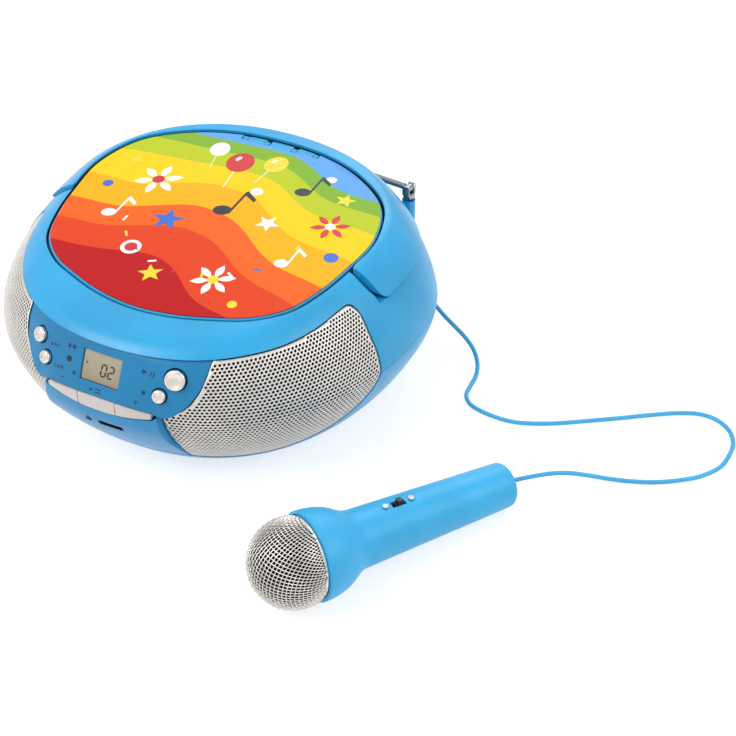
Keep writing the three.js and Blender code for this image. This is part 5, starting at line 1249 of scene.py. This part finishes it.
def panel_marks():
    """Plain signs beside the controls: play and pause, stop, skip, and louder or softer, and a dot of painted
    shadow beside the display.
    """
    made = []
    for x, z, size, shapes in MARKS:
        for shape, aside, up in shapes:
            larger = [(px * MARK_SCALE, py * MARK_SCALE) for px, py in moved(shape, aside, up, size)]
            made.append(flat_marks("mark", on_panel(x, z), [larger], 0.03))
    whole = made[0]
    for one in made[1:]:
        whole = join(whole, one)
    return whole


finish(panel_marks(), "panel_marks", "case", look["print"])


def lip_mark():
    """A small solid triangle, printed on the front lip beside the slot."""
    x, z = -8.5, 50
    reach = FRONT_REACH + NOSE["proud"] * 0.93 - FOOT_IN * draw_in((WAIST - z) / (WAIST - BOTTOM), FOOT_POWER)
    upright_face = Matrix.Translation((x, MID_Y - reach, z)) @ Matrix.Rotation(math.radians(101), 4, "X")
    return flat_marks("lip_mark", upright_face, [[(-2.1, -1.5), (2.1, -1.5), (0, 2.1)]], 0.35, 0.5)


finish(lip_mark(), "lip_mark", "case", look["dark_print"])


# Microphone

MIC = {
    "tail": 13.7, "collar": 26.3, "collar_at": 132, "round": 4, "neck": 17.2, "neck_at": 105, "rim": 135.5,
    "ball": 25.8, "ball_at": 144.4, "socket": 24.5, "socket_at": 126, "floor": 6, "hole": 2.2,
    "place": (217.74, -35.06), "bearing": 58.35, "switch": 77.7, "slot": (2.2, 4.5), "screw": 1.2,
    "screws": 8.6,
}
MIC_LEAN = math.asin((MIC["collar"] - MIC["tail"]) / (MIC["collar_at"] - MIC["round"]))
MIC_FLARE = [(16.8, 96), (17.2, 105), (18.3, 109), (19.8, 112), (22.9, 117.5), (24.6, 122), (25.6, 126.5),
             (26.2, 131), (26.3, 133)]


def mic_frame():
    """The microphone's own frame: it lies on the floor on its collar and tail, and Z points to the ball."""
    bearing = math.radians(MIC["bearing"])
    axis = Vector((-math.cos(bearing) * math.cos(MIC_LEAN), -math.sin(bearing) * math.cos(MIC_LEAN),
                   math.sin(MIC_LEAN)))
    side = Vector((0, 0, 1)).cross(axis).normalized()
    up = axis.cross(side)
    height = 0.3 + MIC["tail"] * math.cos(MIC_LEAN) - MIC["round"] * math.sin(MIC_LEAN)
    turn = Matrix((side, up, axis)).transposed().to_4x4()
    return Matrix.Translation((*MIC["place"], height)) @ turn


MIC_FRAME = mic_frame()


def mic_handle():
    bend, rim, hole, floor = MIC["round"], MIC["rim"], MIC["hole"], MIC["floor"]
    turns = [math.pi * k / 16 for k in range(9)]
    corner = [(MIC["tail"] - bend + bend * math.sin(a), bend - bend * math.cos(a)) for a in turns]
    edge = [(26.3, rim - 0.8), (26.1, rim - 0.25), (25.6, rim)]
    bore = [(MIC["socket"], rim), (MIC["socket"], MIC["socket_at"]), (15.2, 105), (11.7, floor),
            (hole, floor)]
    line = [(hole, 0)] + corner + smooth_line(MIC_FLARE)[8:] + edge + bore + [(hole, 0)]
    shell = turned(line, MIC_FRAME, 128)
    at = MIC["switch"]
    top = MIC["tail"] + (MIC["neck"] - MIC["tail"]) * at / MIC["neck_at"]
    wide, long = MIC["slot"]
    slot = placed(box(-wide, wide, top - 4, 60, at - long, at + long), MIC_FRAME)
    lay = Matrix.Rotation(-math.pi / 2, 4, "X")
    places = [MIC_FRAME @ Matrix.Translation((0, 0, at + s * MIC["screws"])) @ lay for s in (1, -1)]
    holes = [rod(MIC["screw"], top - 4, 60, place, 24) for place in places]
    return cut(shell, slot, *holes)


WIRE = {"pitch": 2.3, "thickness": 0.85, "weave": 0.25, "inset": 0.5, "from": 108}
OUT_OF_REACH = Vector((0, 0, -1000))


def wire_mesh():
    """Woven wire pressed over a ball: a square net, wrapped round from the tip, with crossings in and out."""
    reach = int(MIC["ball"] * math.radians(WIRE["from"]) / WIRE["pitch"]) + 1
    bm = bmesh.new()
    bmesh.ops.create_grid(bm, x_segments=2 * reach, y_segments=2 * reach, size=reach * WIRE["pitch"])
    radius = MIC["ball"] - WIRE["inset"]
    for v in bm.verts:
        i, j = round(v.co.x / WIRE["pitch"]), round(v.co.y / WIRE["pitch"])
        arc = math.hypot(v.co.x, v.co.y) / radius
        angle = math.atan2(v.co.y, v.co.x)
        out = radius + (WIRE["weave"] if (i + j) % 2 else -WIRE["weave"])
        if arc > math.radians(WIRE["from"]):
            v.co = OUT_OF_REACH
            continue
        v.co = (out * math.sin(arc) * math.cos(angle), out * math.sin(arc) * math.sin(angle),
                MIC["ball_at"] + out * math.cos(arc))
    bmesh.ops.delete(bm, geom=[v for v in bm.verts if v.co.z < OUT_OF_REACH.z / 2], context="VERTS")
    bmesh.ops.recalc_face_normals(bm, faces=bm.faces)
    bmesh.ops.transform(bm, matrix=MIC_FRAME, verts=bm.verts)
    made = object_of("mic_wire", bm)
    wires = made.modifiers.new("wires", "WIREFRAME")
    wires.thickness = WIRE["thickness"] * MM
    wires.use_even_offset = False
    wires.use_boundary = True
    return made


FOAM = {"inset": 2.4, "foot": (22.2, 138, 128.5)}
BAND = [(22.6, 127), (23.8, 127), (24, 134.6), (24.3, 136.6), (23.8, 137.2), (22.8, 136.8), (22.6, 127)]


def mic_inside():
    """The dark foam behind the wire."""
    middle, reach = MIC["ball_at"], MIC["ball"] - FOAM["inset"]
    line = [(0, middle + reach)]
    line += [(reach * math.sin(math.radians(a)), middle + reach * math.cos(math.radians(a)))
             for a in range(6, 102, 6)]
    radius, top, low = FOAM["foot"]
    return turned(line + [(radius, top), (radius, low), (0, low)], MIC_FRAME, 64)


finish(mic_handle(), "mic_handle", "case", look["microphone"], ["mic_body"])
finish(wire_mesh(), "mic_wire", "case", look["mesh"], ["mic_head"], sharp=50)
finish(mic_inside(), "mic_foam", "case", look["foam_and_shade_black"])
finish(turned(BAND, MIC_FRAME, 96), "mic_band", "case", look["mesh"])


# Cord

CORD = {"radius": 1.4, "steps": 12, "points": 260}


def cord_piece():
    line = spaced(curve_through(CORD_POINTS, False, CORD["steps"]), CORD["points"], False)
    data = bpy.data.curves.new("mic_cord_run", "CURVE")
    data.dimensions = "3D"
    data.bevel_depth = CORD["radius"] * MM
    data.bevel_resolution = 4
    data.use_fill_caps = True
    spline = data.splines.new("POLY")
    spline.points.add(len(line) - 1)
    for point, place in zip(spline.points, line):
        point.co = (*(place * MM), 1)
    spline.use_smooth = True
    made = bpy.data.objects.new("mic_cord_run", data)
    scene.collection.objects.link(made)
    data.materials.append(look["cord"])
    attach(made, "case")
    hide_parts("mic_cord")


cord_piece()


# Antenna: three sliding tubes, finer than the frame's.

MAST_TURN, MAST_LIFT, MAST_DROP = 167, 8, 5.6
MAST = (
    Matrix.Translation((POST["x"], POST["y"], POST["top"] + GAP))
    @ Matrix.Rotation(math.radians(MAST_TURN), 4, "Z") @ Matrix.Translation((0, 0, MAST_LIFT))
    @ Matrix.Rotation(math.radians(MAST_DROP), 4, "Y") @ Matrix.Rotation(math.pi / 2, 4, "Y")
)
ACROSS_MAST = MAST @ Matrix.Rotation(-math.pi / 2, 4, "X")
OUTER_TUBE = [(0, 3.6), (2.15, 3.6), (2.15, 103.5), (2, 104), (1.65, 104), (1.65, 5.6), (0, 5.6)]
INNER_TUBE = [(0, 12.6), (1.5, 12.6), (1.5, 104.8), (1.4, 105.2), (1.05, 105.2), (1.05, 14.6), (0, 14.6)]
TIP_ROD = [(0, 15.6), (0.9, 15.6), (0.9, 107.4), (1.9, 107.4), (2.2, 107.8), (2.2, 110.6), (1.8, 111.4),
           (1, 111.9), (0, 112)]


def outer_tube():
    """The widest tube, with the eye that it tilts on."""
    tube = turned(OUTER_TUBE, MAST, 48)
    eye = placed(rod(2.3, -2.2, 2.2, None, 48), ACROSS_MAST)
    web = placed(box(-1.5, 1.5, -1.3, 1.3, 0, 4.6), MAST)
    hole = placed(rod(0.9, -9, 9, None, 24), ACROSS_MAST)
    return cut(join(tube, web, eye), hole)


for name, body_name, made, node_name in (
        ("antenna_outer", "antenna_tube", outer_tube(), "antenna_tube_1"),
        ("antenna_inner", "antenna_middle", turned(INNER_TUBE, MAST, 40), "antenna_tube_2"),
        ("antenna_knob", "antenna_tip", turned(TIP_ROD, MAST, 40), "antenna_tip_rod")):
    finish(made, name, body_name, look["chrome"], [node_name])


# Pieces of the frame whose shape is right: round ones are merged copies with smooth faces.

ROUND = {
    "antenna_swivel": "chrome", "mic_plug": "black", "mic_jack": "black", "turntable": "black",
    "disc_well": "black", "spindle_motor": "steel", "sled_motor": "steel", "guide_rods": "steel",
    "left_speaker_frame": "steel", "right_speaker_frame": "steel", "left_speaker_cone": "cone",
    "right_speaker_cone": "cone", "foot_front_left": "rubber", "foot_front_right": "rubber",
    "foot_rear_left": "rubber", "foot_rear_right": "rubber", "shell_screw_left": "steel",
    "shell_screw_right": "steel", "mic_screw_front": "steel", "mic_screw_rear": "steel",
    "mic_capsule": "foam_and_shade_black", "lid_hinge_pin": "steel", "laser_sled": "black", "stereo_led": "black",
    "sled_pinion": "pearl",
}
PLAIN = {
    "left_baffle": "foam_and_shade_black", "right_baffle": "foam_and_shade_black", "display_window": "display",
    "display_module": "display", "usb_socket": "black", "drive_chassis": "steel", "battery_door": "body",
    "battery_contacts": "steel", "main_board": "board", "transformer": "iron", "power_inlet": "black",
    "mic_switch": "black",
}
SHARP_FROM = {"disc_well": 12}


def smooth_copy(node_name, finish_name):
    source = frame["nodes"][node_name]
    bm = bmesh.new()
    bm.from_mesh(source.data)
    bmesh.ops.remove_doubles(bm, verts=bm.verts, dist=2e-6)
    made = object_in_scene(f"{node_name}_fine", bm)
    finish(made, f"{node_name}_fine", source["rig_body"], look[finish_name],
           [node_name], SHARP_FROM.get(node_name, 32))


for node_name, finish_name in ROUND.items():
    smooth_copy(node_name, finish_name)
for node_name, finish_name in PLAIN.items():
    mesh = frame["nodes"][node_name].data
    mesh.materials.clear()
    mesh.materials.append(look[finish_name])


# Stage: a pale floor, soft lights and a white surround.

def seen_by(tree, *rays):
    """One for the named kinds of ray, and nought for all others."""
    path = node(tree, "ShaderNodeLightPath")
    out = path.outputs[rays[0]]
    for ray in rays[1:]:
        either = node(tree, "ShaderNodeMath", {0: out, 1: path.outputs[ray]}, operation="MAXIMUM")
        out = either.outputs["Value"]
    return out


def set_world():
    """Soft light from all round, which the camera sees as plain white."""
    world = bpy.data.worlds.new("surround")
    world.use_nodes = True
    tree = world.node_tree
    lit = tree.nodes["Background"]
    feed(tree, lit, {"Color": (0.96, 0.98, 1, 1), "Strength": 0.58})
    glow = node(tree, "ShaderNodeBackground", {"Color": (1, 1, 1, 1), "Strength": 1})
    seen = seen_by(tree, "Is Camera Ray", "Is Glossy Ray", "Is Transmission Ray")
    mix = node(tree, "ShaderNodeMixShader", {"Fac": seen, 1: lit.outputs[0], 2: glow.outputs[0]})
    feed(tree, tree.nodes["World Output"], {"Surface": mix.outputs[0]})
    scene.world = world


def set_floor():
    """A floor that lights the object as a pale card does, and looks white but for the object's shadow."""
    bm = bmesh.new()
    bmesh.ops.create_grid(bm, x_segments=1, y_segments=1, size=6000)
    floor = object_of("floor", bm)
    material, tree, shader = new_material("pale_floor", 0.9)
    feed(tree, shader, {"Base Color": (0.86, 0.86, 0.86, 1), "Specular IOR Level": 0})
    glow = node(tree, "ShaderNodeEmission", {"Color": (1, 1, 1, 1), "Strength": 0.7})
    card = node(tree, "ShaderNodeBsdfDiffuse", {"Color": (0.5, 0.5, 0.5, 1)})
    white = node(tree, "ShaderNodeAddShader", {0: card.outputs[0], 1: glow.outputs[0]})
    seen = seen_by(tree, "Is Camera Ray", "Is Glossy Ray")
    mix = node(tree, "ShaderNodeMixShader", {"Fac": seen, 1: shader.outputs[0], 2: white.outputs[0]})
    feed(tree, tree.nodes["Material Output"], {"Surface": mix.outputs[0]})
    floor.data.materials.append(material)


LIGHT_AIM = Vector((0.05, 0, 0.05))
LIGHTS = [
    ("key_light", (-0.7, -0.9, 1.5), 1.1, 17), ("side_light", (1.5, 0.2, 1.1), 1.0, 7.5),
    ("rear_light", (-0.2, 1.5, 1.3), 1.2, 7.5),
]


def soft_light(name, place, size, power):
    data = bpy.data.lights.new(name, "AREA")
    data.shape = "DISK"
    data.size = size
    data.energy = power
    made = bpy.data.objects.new(name, data)
    made.location = place
    made.rotation_euler = (LIGHT_AIM - Vector(place)).to_track_quat("-Z", "Y").to_euler()
    scene.collection.objects.link(made)


set_world()
set_floor()
for row in LIGHTS:
    soft_light(*row)
scene.view_settings.view_transform = "Standard"
